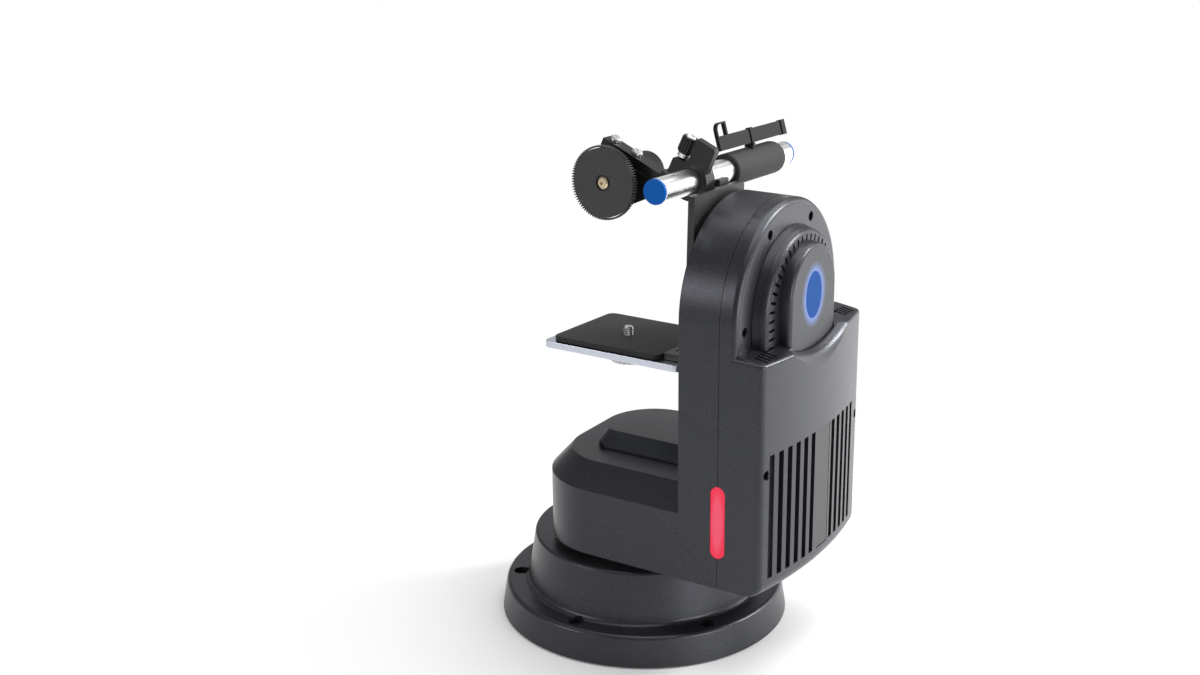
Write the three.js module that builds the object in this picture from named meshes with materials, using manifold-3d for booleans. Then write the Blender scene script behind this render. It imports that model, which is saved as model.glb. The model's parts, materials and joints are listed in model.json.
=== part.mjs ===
// Remote pan tilt head: a round base, an L-shaped arm that pans on it, and a camera cradle that tilts on the arm.
// Millimetres, +Z up. The origin is the middle of the base where it stands, -Y is the way the lens looks,
// the pan axis is Z and the tilt axis runs along X, with the arm on the +X side.
import * as THREE from "three";
import { mergeVertices } from "three/addons/utils/BufferGeometryUtils.js";
import Module from "manifold-3d";

const wasm = await Module();
wasm.setup();

// Clearances and smoothness
const gap = 0.3;
const overrun = 5;
const fineSteps = 48;
const middleSteps = 28;
const archSteps = 24;
const coarseSteps = 16;
const smallSteps = 10;
const roundSteps = 3;
const weldTolerance = 1e-4;

// Base
const baseRadius = 92.5;
const rimRadius = 89.9;
const rimRound = 3;
const flangeTop = 20.4;
const drumFootRadius = 74.9;
const drumFootRound = 3.6;
const drumTopRadius = 70.5;
const drumRound = 2;
const drumTop = 53.7;
const drumRoof = 4;
const baseCavityRadius = 64.5;
const baseLift = 1;
const bottomPlateRadius = 66.5;
const bottomPlateThickness = 2.5;
const footRingRadius = 90;
const footRingWidth = 4.4;
const footRingHeight = 3;
const boltCircleRadius = 80.6;
const boltHoleRadius = 2.75;
const boltHeadRadius = 5;
const boltHeadDepth = 3.8;
const boltCount = 6;
const boltFirstAngle = 30;

// Pan bearing, gear and motor
const panRaceOuterRadius = 40;
const panRaceSplitRadius = 34;
const panRaceSplit = 0.4;
const panHubRadius = 28;
const panRaceHeight = 9;
const panRaceDepth = 2.2;
const panSeatWall = 5;
const panSeatLip = 3.5;
const panSeatFloor = 2.7;
const turntableRadius = 48;
const turntableThickness = 4.9;
const turntableLift = 0.4;
const panShoulderWidth = 3;
const panBoreRadius = 14;
const panGearHubRadius = 26;
const gearModule = 1.5;
const gearTeeth = 48;
const pinionTeeth = 12;
const gearThickness = 7;
const toothAddendumShare = 0.9;
const toothDedendumShare = 1.15;
const toothTipShare = 0.2;
const toothRootShare = 0.62;
const panGearDrop = 3.8;
const panHubTail = 1.5;
const panMotorAngle = 180;
const motorRadius = 16;
const motorShaftRadius = 2.5;
const shaftClearance = 0.7;
const motorLength = 21;
const motorPilotRadius = 8;
const motorPilotHeight = 1.2;
const bracketThickness = 2.5;
const legRadius = 2.5;
const panLegSide = 21;
const panLegOut = 9;
const panLegIn = 13;
const panPlateEdge = 3.5;

// Connectors at the back of the base, and the board behind them
const panelHalfWidth = 25;
const panelHeight = 20;
const panelThickness = 2;
const panelMiddle = 36;
const bayHalfWidth = 22;
const bayHeight = 16;
const inletPlace = -11;
const inletRadius = 7;
const inletFlange = 1.5;
const inletFlangeThickness = 1.5;
const inletBoreRadius = 5.4;
const inletDepth = 7;
const inletPinRadius = 1.1;
const inletPinSetback = 1.5;
const inletBack = 1.5;
const socketPlace = 9;
const socketWidth = 18;
const socketHeight = 10;
const socketWall = 1.6;
const socketDepth = 6;
const socketBack = 2;
const socketFlange = 1.5;
const socketRound = 2;
const baseBoardLeft = 2;
const baseBoardRight = 51;
const baseBoardHalfDepth = 32;
const boardThickness = 1.6;
const boardLift = 5.2;
const pillarInset = 5;
const capacitorRadius = 5;
const capacitorHeight = 11;
const capacitorPitch = 13;
const chipSize = 12;
const chipHeight = 2.4;

// Foot of the arm
const armHalfWidth = 64.2;
const footBottom = 59;
const footLeft = 49.3;
const footCorner = 46.8;
const footEdge = 101.4;
const footTop = 116;
const footChamfer = 13.1;
const shellWall = 3;
const footPlateThickness = 4;
const grommetRadius = 9;
const grommetLip = 3;
const grommetBore = 6;
const grommetHeight = 2.5;
const hatchHalfWidth = 20;
const hatchLeft = 6;
const hatchRight = 50;
const hatchHalfWidthFoot = 30;
const hatchFootLeft = 18.5;
const hatchFootCorner = 9;
const hatchStep = 2.7;
const hatchTop = 125;
const hatchTopHalfWidth = 20.5;
const hatchTopLeft = 15.5;
const hatchTopCorner = 6;
const hatchWall = 2.4;

// Arm
const armInner = 62.7;
const armParting = 89.8;
const armOuter = 101;
const armFillet = 4;
const armEdge = 1;
const tiltHeight = 219.3;
const bulgeFace = 125;
const bulgeRadius = 292;
const bulgeTop = 201.3;
const bulgeBottomRound = 8;
const bulgeTopRound = 3;
const bulgeCorner = 4;
const bulgeFaceSteps = 16;
const scoopCentre = 277;
const scoopRadius = 80.2;
const scoopStart = 117.6;
const scoopFlare = 11.8;
const scoopSteps = 5;
const ventPlaces = [-45.8, -37.1, -28.4, -19.7, -11.1, 15.7, 23.8, 31.9, 40, 48.1];
const blindVentPlace = -54.6;
const blindVentDepth = 1.4;
const ventWidth = 4.6;
const ventBottom = 70;
const ventTop = 147.3;
const ledgeVentCount = 6;
const ledgeVentFirst = 36.2;
const ledgeVentPitch = 2.8;
const ledgeVentWidth = 1.3;
const ledgeVentStart = 103.5;
const ledgeVentEnd = 115.5;
const labelMiddle = 3.4;
const labelWidth = 14.5;
const labelThickness = 0.6;
const labelEdge = 1;
const tallyWidth = 9.2;
const tallyBottom = 78.7;
const tallyTop = 123.9;
const tallyThickness = 4;
const screwCircle = 55;
const screwUpperAngle = 62;
const screwSideAngle = -1.6;
const screwLowY = 59;
const screwLowZ = 136;
const screwHeadRadius = 2.6;
const screwHeadHeight = 2.4;
const screwShankRadius = 1.5;
const screwShankLength = 12;
const screwSeat = 94;
const screwBossRadius = 4.4;
const screwClearance = 0.35;

// Raised cover round the tilt axis
const discHalfWidth = 46.9;
const discCentre = 221.2;
const discTop = 110;
const discDraft = 1.2;
const discRound = 5;
const discVentPitch = 7.85;
const discVentMiddle = 39;
const discVentLength = 6;
const discVentWidth = 1.7;
const discVentDepth = 3.4;
const discVentStraight = 3;
const discWindow = 36;
const bossHalfWidth = 30.6;
const bossCentre = 229.4;
const bossTop = 117;
const bossDraft = 0.6;
const bossRound = 3;
const bossTail = 193;
const lampHeight = 28;
const lampWidth = 20;
const lampCentre = 228.5;
const lampFlange = 2;
const lampFlangeThickness = 1.1;

// Frame, bearing, motor and electronics inside the arm
const frameStart = 66.2;
const frameThickness = 4;
const frameHalfWidth = 38;
const frameFlangeReach = 40;
const tiltRaceOuterRadius = 24;
const tiltRaceSplitRadius = 18.2;
const tiltRaceSplit = 0.4;
const tiltShaftRadius = 12;
const tiltRaceWidth = 11;
const tiltRaceInset = 2.3;
const tiltSeatWall = 5;
const tiltSeatLip = 3.5;
const tiltHubRadius = 20;
const tiltHubStart = 59.7;
const tiltShoulderRadius = 15.5;
const tiltBoreRadius = 5;
const tiltShaftTail = 3;
const tiltGearSpacer = 3;
const tiltGearHub = 16;
const tiltMotorLength = 21;
const tiltLegSide = 26;
const tiltLegDown = 19;
const tiltLegUp = 9;
const tiltLegLowSide = 21;
const tiltPlateEdge = 3.6;
const boardStandoff = 13.5;
const boardHalfWidth = 42;
const boardBottom = 72;
const boardTop = 146;
const sinkHalfWidth = 32;
const sinkBottom = 80;
const sinkTop = 138;
const sinkBase = 4;
const sinkDepth = 24;
const sinkFins = 7;
const sinkFinThickness = 2;

// Camera cradle, in its own frame: level, with its origin on the tilt axis
const cradlePitch = -2.5;
const uprightStart = 55;
const uprightThickness = 4.4;
const cradleFront = -48;
const uprightFront = -42.6;
const uprightBack = 17;
const uprightTop = 67;
const plateBottom = -38;
const plateThickness = 4;
const plateLeft = -42;
const plateBack = 22;
const plateCorner = 5;
const uprightCorner = 2;
const scallopRadius = 12.4;
const scallopFront = -34.6;
const scallopBack = -12.6;
const clampRoom = 0.4;
const uprightFlangeWidth = 15;
const uprightFlangeThickness = 4;
const padThickness = 3.4;
const padLeft = -36;
const padInset = 1.5;
const cameraHoleRadius = 3.6;
const cameraScrewPlace = -16;
const cameraThreadRadius = 3.175;
const cameraThreadReach = 5;
const cameraKnobRadius = 11;
const cameraKnobHeight = 9;
const cameraKnobRibs = 18;
const ribDepth = 0.8;
const plateScrewRadius = 2;
const plateScrewHead = 4;
const plateScrewHeadHeight = 2;
const plateScrewPlaces = [-32, 4];
const plateScrewFromEdge = 6;

// Support rod, its clamp and what it carries
const rodPlace = 45;
const rodHeight = 71.3;
const rodRadius = 7.5;
const rodBore = 5.6;
const rodFront = -62;
const rodBack = 94.8;
const capThickness = 1.5;
const capPlugRadius = 5.3;
const capPlugLength = 8;
const clampFront = -24.6;
const clampBack = -14.5;
const clampMiddle = (clampFront + clampBack) / 2;
const clampRadius = 11.7;
const clampTilt = 24;
const clampEarLeft = -15.6;
const clampEarTop = 8.6;
const clampSlitTop = -2;
const clampSlit = 1.4;
const clampLugLeft = -19;
const clampLugBottom = -11.8;
const clampBlockLeft = -6;
const clampBlockRight = 7.7;
const clampBlockTop = 25.2;
const clampBlockBack = -19.5;
const clampBevel = 1.4;
const knobPlace = -12.3;
const knobRadius = 4.9;
const knobHeight = 10;
const knobRibs = 12;
const knobNeckRadius = 3.6;
const knobNeckHeight = 3.2;
const knobStudRadius = 1.8;
const knobStudLength = 15;
const knobCapRadius = 3;
const knobCapHeight = 0.8;
const mountFront = -5;
const mountBack = 6;
const mountLeft = 35.5;
const mountBottom = 54;
const mountTopLeft = 74.6;
const mountTopRight = 70.2;
const sleeveFront = 18.6;
const sleeveBack = 81;
const sleeveRadius = 10.2;
const sleeveRound = 4;
const clipHalfWidth = 1.2;
const clipFront = 8;
const clipBack = 93;
const clipHeight = 8.8;
const clipLean = 17;
const clipPlace = 45.6;
const clipMiddle = 88.8;
const clipGrooves = [45.4, 86.4];
const clipGrooveWidth = 1.6;
const clipGrooveDepth = 0.5;
const clipEndPlate = 5;
const clipFlangeFront = 47;
const clipFlangeBack = 50;
const clipFlangeRise = 0.7;
const saddleHalfWidth = 3;
const saddleDepth = 7;
const hookWidth = 12.4;
const hookRise = 8.2;
const hookThin = 1.2;
const hookThick = 1.8;
const hookRound = 5;

// Focus drive on its swinging arm
const armBarLeft = -62.9;
const armBarTop = -5.8;
const armBarThickness = 6;
const armBarDepth = 10.1;
const tongueLength = 2.6;
const tongueShy = 1.6;
const focusGearPlace = -52.3;
const focusGearDrop = -5;
const focusModule = 0.5;
const focusTeeth = 86;
const focusGearThickness = 5.1;
const focusGearFront = -36.1;
const focusHubRadius = 6;
const focusRecessRadius = 5;
const focusRecessDepth = 1;
const focusShaftRadius = 2.5;
const focusScrewRadius = 3.6;
const focusScrewHeight = 1.6;
const focusMotorRadius = 12.5;
const focusMotorLength = 36;
const focusPlateThickness = 4;
const focusPlateSide = 14;
const focusPlateReach = 13;
const focusPlateRight = -24;
const barScrewPlaces = [-40.5, -57];
const barScrewRadius = 3.4;
const barScrewHeight = 2.6;
const barScrewShank = 1.6;
const barScrewDepth = 4;
const barScrewCrownShare = 0.75;

// Finishes
const finish = (color, roughness, metalness) => new THREE.MeshStandardMaterial({ color, roughness, metalness });
const housingBlack = finish(0x303134, 0.55, 0.1);
const plainSteel = finish(0x9a9da1, 0.35, 0.9);
const castAluminium = finish(0x8f9296, 0.45, 0.85);
const anodisedBlack = finish(0x1c1d1f, 0.45, 0.5);
const brushedAluminium = finish(0xc3c9d0, 0.3, 0.95);
const chromedSteel = finish(0xe4e6e9, 0.08, 1);
const rubberBlack = finish(0x19191a, 0.9, 0);
const mouldedBlack = finish(0x202123, 0.6, 0);
const boardGreen = finish(0x1d5a36, 0.5, 0.1);
const motorGrey = finish(0x55585c, 0.4, 0.7);
const brassYellow = finish(0xb08d4a, 0.35, 0.9);
const lampBlue = finish(0x2f62bd, 0.3, 0);
const tallyRed = finish(0xf0465f, 0.3, 0);
const capBlue = finish(0x0a58b0, 0.35, 0);
const labelGrey = finish(0x54575b, 0.5, 0.1);

// Solids from three.js geometry

// A closed geometry as a solid for cutting and joining, with its faces turned outwards.
function solid(geometry) {
  const source = geometry.index ? geometry.toNonIndexed() : geometry.clone();
  source.deleteAttribute("normal");
  source.deleteAttribute("uv");
  const merged = mergeVertices(source, weldTolerance);
  const position = merged.attributes.position;
  const index = merged.index.array;
  const corners = [];
  let volume = 0;
  const [a, b, c] = [new THREE.Vector3(), new THREE.Vector3(), new THREE.Vector3()];
  for (let i = 0; i < index.length; i += 3) {
    const [p, q, r] = [index[i], index[i + 1], index[i + 2]];
    if (p === q || q === r || r === p) continue;
    corners.push(p, q, r);
    a.fromBufferAttribute(position, p);
    b.fromBufferAttribute(position, q);
    c.fromBufferAttribute(position, r);
    volume += a.dot(b.cross(c));
  }
  const turned = volume < 0 ? corners.reverse() : corners;
  return new wasm.Manifold(new wasm.Mesh({
    numProp: 3,
    vertProperties: new Float32Array(position.array),
    triVerts: new Uint32Array(turned),
  }));
}

// A solid back as a geometry with flat faces.
function geometryOf(shape) {
  const mesh = shape.getMesh();
  const geometry = new THREE.BufferGeometry();
  geometry.setAttribute("position", new THREE.BufferAttribute(new Float32Array(mesh.vertProperties), 3));
  geometry.setIndex(new THREE.BufferAttribute(new Uint32Array(mesh.triVerts), 1));
  const flat = geometry.toNonIndexed();
  flat.computeVertexNormals();
  return flat;
}

const join = (...shapes) => shapes.reduce((whole, shape) => whole.add(shape));
const cut = (shape, ...cutters) => cutters.reduce((left, cutter) => left.subtract(cutter), shape);

// One named piece in a group.
function piece(group, name, shape, material) {
  const mesh = new THREE.Mesh(geometryOf(shape), material);
  mesh.name = name;
  group.add(mesh);
  return mesh;
}

const axisX = new THREE.Vector3(1, 0, 0);
const axisY = new THREE.Vector3(0, 1, 0);
const axisZ = new THREE.Vector3(0, 0, 1);
// How a drawing's two directions and its depth lie in space.
const upwards = new THREE.Matrix4().makeBasis(axisX, axisY, axisZ);
const sideways = new THREE.Matrix4().makeBasis(axisY, axisZ, axisX);
const rearwards = new THREE.Matrix4().makeBasis(axisZ, axisX, axisY);

// A drawing pushed out along its depth, from one place to another.
function prism(shape, from, to, lie, steps = smallSteps) {
  const geometry = new THREE.ExtrudeGeometry(shape, { depth: to - from, bevelEnabled: false, curveSegments: steps });
  geometry.translate(0, 0, from);
  return solid(geometry.applyMatrix4(lie));
}

// A box between two corners.
function block(x0, x1, y0, y1, z0, z1) {
  const geometry = new THREE.BoxGeometry(x1 - x0, y1 - y0, z1 - z0);
  return solid(geometry.translate((x0 + x1) / 2, (y0 + y1) / 2, (z0 + z1) / 2));
}

// A turned solid: its profile is a list of [radius, height], and its axis is Z, X or Y, through a point.
function turned(profile, along, centre, steps = middleSteps) {
  const points = profile.map(([radius, height]) => new THREE.Vector2(radius, height));
  const onAxis = profile[0][0] === 0 && profile[profile.length - 1][0] === 0;
  if (!onAxis) points.push(points[0].clone());
  const geometry = new THREE.LatheGeometry(points, steps);
  if (along === "z") geometry.rotateX(Math.PI / 2);
  if (along === "x") geometry.rotateZ(-Math.PI / 2);
  return solid(geometry.translate(...centre));
}

// A plain rod or a tube, from one height to another.
function round(radius, from, to, along, centre, steps = coarseSteps) {
  return turned([[0, from], [radius, from], [radius, to], [0, to]], along, centre, steps);
}
function tube(outer, inner, from, to, along, centre, steps = middleSteps) {
  return turned([[inner, from], [outer, from], [outer, to], [inner, to]], along, centre, steps);
}

const radians = THREE.MathUtils.degToRad;

// Points along an arc, its ends included.
function arc(x, y, radius, fromAngle, toAngle, steps = roundSteps) {
  const points = [];
  for (let i = 0; i <= steps; i += 1) {
    const angle = radians(fromAngle + ((toAngle - fromAngle) * i) / steps);
    points.push([x + radius * Math.cos(angle), y + radius * Math.sin(angle)]);
  }
  return points;
}

const polar = (radius, angle) => [radius * Math.cos(radians(angle)), radius * Math.sin(radians(angle))];

const shapeOf = (points) => new THREE.Shape(points.map(([x, y]) => new THREE.Vector2(x, y)));

// A rectangle with round corners, centred on a point.
function roundedRectangle(x, y, width, height, radius) {
  const [w, h] = [width / 2 - radius, height / 2 - radius];
  return shapeOf([
    ...arc(x + w, y + h, radius, 0, 90),
    ...arc(x - w, y + h, radius, 90, 180),
    ...arc(x - w, y - h, radius, 180, 270),
    ...arc(x + w, y - h, radius, 270, 360),
  ]);
}

// A skin over a stack of outlines that have as many points each, with a flat cap at both ends.
function loft(layers, lie) {
  const positions = [];
  const count = layers[0].outline.length;
  const corner = (layer, i) => {
    const [x, y] = layer.outline[i % count];
    positions.push(x, y, layer.height);
  };
  for (let k = 0; k + 1 < layers.length; k += 1) {
    const [low, high] = [layers[k], layers[k + 1]];
    for (let i = 0; i < count; i += 1) {
      corner(low, i);
      corner(low, i + 1);
      corner(high, i + 1);
      corner(low, i);
      corner(high, i + 1);
      corner(high, i);
    }
  }
  for (const [layer, back] of [[layers[0], true], [layers[layers.length - 1], false]]) {
    const outline = layer.outline.map(([x, y]) => new THREE.Vector2(x, y));
    for (const face of THREE.ShapeUtils.triangulateShape(outline, [])) {
      for (const i of back ? [face[2], face[1], face[0]] : face) corner(layer, i);
    }
  }
  const geometry = new THREE.BufferGeometry();
  geometry.setAttribute("position", new THREE.Float32BufferAttribute(positions, 3));
  return solid(geometry.applyMatrix4(lie));
}

// A spur gear's outline, with a tooth on its first direction or a gap there.
function gearOutline(module, teeth, gapFirst) {
  const pitchRadius = (module * teeth) / 2;
  const tip = pitchRadius + module * toothAddendumShare;
  const root = pitchRadius - module * toothDedendumShare;
  const step = 360 / teeth;
  const points = [];
  for (let i = 0; i < teeth; i += 1) {
    const middle = step * (i + (gapFirst ? 0.5 : 0));
    const [tipHalf, rootHalf] = [(step * toothTipShare) / 2, (step * toothRootShare) / 2];
    points.push(
      polar(root, middle - rootHalf), polar(tip, middle - tipHalf),
      polar(tip, middle + tipHalf), polar(root, middle + rootHalf),
    );
  }
  return points;
}

// A ribbed knob's outline.
function ribbedOutline(radius, ribs) {
  const points = [];
  for (let i = 0; i < ribs * 2; i += 1) {
    const here = radius - (i % 2) * ribDepth;
    points.push([here * Math.cos((Math.PI * i) / ribs), here * Math.sin((Math.PI * i) / ribs)]);
  }
  return points;
}

// Groups: each is one part of the head that moves by itself
const head = new THREE.Group();
const base = new THREE.Group();
const turret = new THREE.Group();
const cradle = new THREE.Group();
cradle.position.z = tiltHeight;
cradle.rotation.x = radians(cradlePitch);
head.add(base, turret, cradle);

// Heights that several pieces share
const bottomPlateTop = baseLift + bottomPlateThickness;
const turntableBottom = drumTop + turntableLift;
const turntableTop = turntableBottom + turntableThickness;
const raceTop = drumTop - panRaceDepth;
const raceBottom = raceTop - panRaceHeight;
const seatBottom = raceBottom - gap - panSeatFloor;
const panGearTop = raceBottom - gap - panGearDrop;
const panGearBottom = panGearTop - gearThickness;
const pitchDistance = (gearModule * (gearTeeth + pinionTeeth)) / 2;
const panMotorX = pitchDistance * Math.cos(radians(panMotorAngle));
const panMotorY = pitchDistance * Math.sin(radians(panMotorAngle));
const panPlateTop = panGearBottom - gap;
const panPlateBottom = panPlateTop - bracketThickness;
const centre = [0, 0, 0];
const tiltAxis = [0, 0, tiltHeight];

function makeBase() {
  const cavityTop = drumTop - drumRoof;
  const seatRadius = panRaceOuterRadius + gap;
  const ringInner = footRingRadius - footRingWidth;
  const ringTop = footRingHeight + gap;
  const profile = [
    [baseRadius, baseLift],
    ...arc(rimRadius - rimRound, flangeTop - rimRound, rimRound, 0, 90),
    ...arc(drumFootRadius + drumFootRound, flangeTop + drumFootRound, drumFootRound, 270, 180),
    ...arc(drumTopRadius - drumRound, drumTop - drumRound, drumRound, 0, 90),
    [seatRadius, drumTop],
    [seatRadius, raceBottom - gap],
    [seatRadius - panSeatLip, raceBottom - gap],
    [seatRadius - panSeatLip, seatBottom],
    [seatRadius + panSeatWall, seatBottom],
    [seatRadius + panSeatWall, cavityTop],
    [baseCavityRadius, cavityTop],
    [baseCavityRadius, bottomPlateTop + gap],
    [bottomPlateRadius + gap, bottomPlateTop + gap],
    [bottomPlateRadius + gap, baseLift],
    [ringInner - gap, baseLift],
    [ringInner - gap, ringTop],
    [footRingRadius + gap, ringTop],
    [footRingRadius + gap, baseLift],
  ];
  const holes = [];
  for (let i = 0; i < boltCount; i += 1) {
    const angle = radians(boltFirstAngle + (360 / boltCount) * i);
    const place = [boltCircleRadius * Math.cos(angle), boltCircleRadius * Math.sin(angle), 0];
    const seat = flangeTop - boltHeadDepth;
    holes.push(turned([
      [0, -overrun], [boltHoleRadius, -overrun], [boltHoleRadius, seat],
      [boltHeadRadius, seat], [boltHeadRadius, flangeTop + overrun], [0, flangeTop + overrun],
    ], "z", place, coarseSteps));
  }
  const [bayBottom, bayTop] = [panelMiddle - bayHeight / 2, panelMiddle + bayHeight / 2];
  const bay = block(-bayHalfWidth, bayHalfWidth, baseCavityRadius / 2 + seatRadius / 2, baseRadius, bayBottom, bayTop);
  const housing = cut(turned(profile, "z", centre, fineSteps), ...holes, bay);
  piece(base, "base_housing", housing, housingBlack);

  const ring = tube(footRingRadius, ringInner, 0, footRingHeight, "z", centre, fineSteps);
  piece(base, "foot_ring", ring, rubberBlack);

  const pillars = boardCorners().map(([x, y]) => (
    round(legRadius, bottomPlateThickness / 2, bottomPlateTop + boardLift, "z", [x, y, 0], smallSteps)
  ));
  const plate = round(bottomPlateRadius, 0, bottomPlateTop, "z", centre, fineSteps);
  piece(base, "base_bottom_plate", join(plate, ...pillars), plainSteel);
  makeBaseBoard();
  makeConnectors();
}

// Where the base board stands on its four pillars.
function boardCorners() {
  const [left, right] = [baseBoardLeft + pillarInset, baseBoardRight - pillarInset];
  const side = baseBoardHalfDepth - pillarInset;
  return [[left, -side], [right, -side], [left, side], [right, side]];
}

function makeBaseBoard() {
  const boardBottomFace = bottomPlateTop + boardLift + gap;
  const top = boardBottomFace + boardThickness;
  const middle = (baseBoardLeft + baseBoardRight) / 2;
  const parts = [block(baseBoardLeft, baseBoardRight, -baseBoardHalfDepth, baseBoardHalfDepth, boardBottomFace, top)];
  for (const place of [-capacitorPitch, 0, capacitorPitch]) {
    parts.push(round(capacitorRadius, boardBottomFace, top + capacitorHeight, "z", [middle, place, 0], smallSteps));
  }
  const chip = chipSize / 2;
  parts.push(block(middle + chip, middle + chip * 3, -chip, chip, boardBottomFace, top + chipHeight));
  piece(base, "base_board", join(...parts), boardGreen);
}

// The recessed panel and its sockets, which face the back.
function makeConnectors() {
  const back = Math.sqrt((baseCavityRadius - gap) ** 2 - panelHalfWidth ** 2);
  const front = back - panelThickness;
  const [low, high] = [panelMiddle - panelHeight / 2, panelMiddle + panelHeight / 2];
  const inletHole = round(inletRadius + gap, front - overrun, back + overrun, "y", [inletPlace, 0, panelMiddle]);
  const socketHole = block(
    socketPlace - socketWidth / 2 - gap, socketPlace + socketWidth / 2 + gap, front - overrun, back + overrun,
    panelMiddle - socketHeight / 2 - gap, panelMiddle + socketHeight / 2 + gap,
  );
  const panel = cut(block(-panelHalfWidth, panelHalfWidth, front, back, low, high), inletHole, socketHole);
  piece(base, "connector_panel", panel, anodisedBlack);

  const flangeBack = back + gap;
  const mouth = flangeBack + inletFlangeThickness;
  const floor = mouth - inletDepth;
  const inlet = turned([
    [0, floor - inletBack], [inletRadius, floor - inletBack], [inletRadius, flangeBack],
    [inletRadius + inletFlange, flangeBack], [inletRadius + inletFlange, mouth], [inletBoreRadius, mouth],
    [inletBoreRadius, floor], [inletPinRadius, floor], [inletPinRadius, mouth - inletPinSetback],
    [0, mouth - inletPinSetback],
  ], "y", [inletPlace, 0, panelMiddle], coarseSteps);
  piece(base, "power_inlet", inlet, mouldedBlack);

  const around = (grow) => roundedRectangle(
    panelMiddle, socketPlace, socketHeight + grow * 2, socketWidth + grow * 2, socketRound,
  );
  const body = prism(around(0), mouth - socketDepth - socketBack, mouth, rearwards);
  const flange = prism(around(socketFlange), flangeBack, mouth, rearwards);
  const well = prism(around(-socketWall), mouth - socketDepth, mouth + overrun, rearwards);
  piece(base, "control_socket", cut(join(body, flange), well), plainSteel);
}

// The pan drive: races, turntable, gear, motor and the bracket that holds it.
function makePanDrive() {
  const split = panRaceSplit / 2;
  const outerRace = tube(panRaceOuterRadius, panRaceSplitRadius + split, raceBottom, raceTop, "z", centre);
  piece(base, "pan_bearing_outer", outerRace, plainSteel);
  const innerBore = panHubRadius + gap;
  const innerRace = tube(panRaceSplitRadius - split, innerBore, raceBottom, raceTop, "z", centre);
  piece(turret, "pan_bearing_inner", innerRace, plainSteel);

  const shoulder = raceTop + gap;
  const gearSeat = panGearTop + gap;
  const turntable = turned([
    [panBoreRadius, panGearBottom - panHubTail], [panGearHubRadius, panGearBottom - panHubTail],
    [panGearHubRadius, gearSeat], [panHubRadius, gearSeat], [panHubRadius, shoulder],
    [panHubRadius + panShoulderWidth, shoulder], [panHubRadius + panShoulderWidth, turntableBottom],
    [turntableRadius, turntableBottom], [turntableRadius, turntableTop], [panBoreRadius, turntableTop],
  ], "z", centre, fineSteps);
  piece(turret, "pan_turntable", turntable, castAluminium);

  const gearBody = prism(shapeOf(gearOutline(gearModule, gearTeeth, false)), panGearBottom, panGearTop, upwards);
  const gearBore = round(panGearHubRadius + gap, 0, drumTop, "z", centre, fineSteps);
  piece(turret, "pan_gear", cut(gearBody, gearBore), plainSteel);

  const teeth = prism(shapeOf(gearOutline(gearModule, pinionTeeth, true)), panGearBottom, panGearTop, upwards);
  const shaft = round(motorShaftRadius, panPlateBottom, panGearTop, "z", centre, smallSteps);
  const pinion = piece(base, "pan_pinion", join(teeth, shaft), brassYellow);
  pinion.position.set(panMotorX, panMotorY, 0);

  const motorTop = panPlateBottom - gap;
  const motorProfile = [
    [0, motorTop - motorLength], [motorRadius - rimRound / 2, motorTop - motorLength],
    [motorRadius, motorTop - motorLength + rimRound / 2], [motorRadius, motorTop], [0, motorTop],
  ];
  piece(base, "pan_motor", turned(motorProfile, "z", [panMotorX, panMotorY, 0]), motorGrey);

  const legs = [];
  for (const side of [-panLegSide, panLegSide]) {
    for (const reach of [-panLegOut, panLegIn]) {
      const place = [panMotorX + reach, panMotorY + side, 0];
      legs.push(round(legRadius, bottomPlateTop + gap, panPlateTop, "z", place, smallSteps));
    }
  }
  const plateWidth = panLegOut + panLegIn + panPlateEdge * 2;
  const plateMiddle = panMotorX + (panLegIn - panLegOut) / 2;
  const outline = roundedRectangle(plateMiddle, panMotorY, plateWidth, (panLegSide + panPlateEdge) * 2, panPlateEdge);
  const plate = prism(outline, panPlateBottom, panPlateTop, upwards);
  const hole = round(motorShaftRadius + shaftClearance, 0, drumTop, "z", [panMotorX, panMotorY, 0], smallSteps);
  piece(base, "pan_motor_bracket", cut(join(plate, ...legs), hole), castAluminium);
}

// The foot's plan: straight sides along X and a round-cornered left end, drawn in by an inset.
function footOutline(halfWidth, left, corner, right) {
  return [
    ...arc(-left + corner, -halfWidth + corner, corner, 270, 180, coarseSteps / 2),
    ...arc(-left + corner, halfWidth - corner, corner, 180, 90, coarseSteps / 2),
    [right, halfWidth],
    [right, -halfWidth],
  ].reverse();
}
const footInset = (inset, right) => footOutline(
  armHalfWidth - inset, footLeft - inset, Math.max(footCorner - inset, inset), right,
);

// The arm's side view: straight sides, a half round top about the tilt axis and a flat bottom.
function armOutline(inset, bottom) {
  return [
    [-armHalfWidth + inset, bottom],
    [armHalfWidth - inset, bottom],
    ...arc(0, tiltHeight, armHalfWidth - inset, 0, 180, archSteps),
  ];
}

// Where the cover's screws sit, as [y, z].
function screwPlaces() {
  const places = [];
  for (const side of [1, -1]) {
    for (const angle of [screwUpperAngle, screwSideAngle]) {
      const [y, z] = polar(screwCircle, angle);
      places.push([y * side, tiltHeight + z]);
    }
    places.push([screwLowY * side, screwLowZ]);
  }
  return places;
}

// The tally lamp's slot in the front face, drawn in the face and pushed rearwards.
function tallySlot(grow, from, to) {
  const height = tallyTop - tallyBottom + grow * 2;
  const middle = (tallyTop + tallyBottom) / 2;
  const shape = roundedRectangle(middle, armParting, height, tallyWidth + grow * 2, tallyWidth / 2 + grow - weldTolerance);
  return prism(shape, from, to, rearwards);
}

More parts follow.
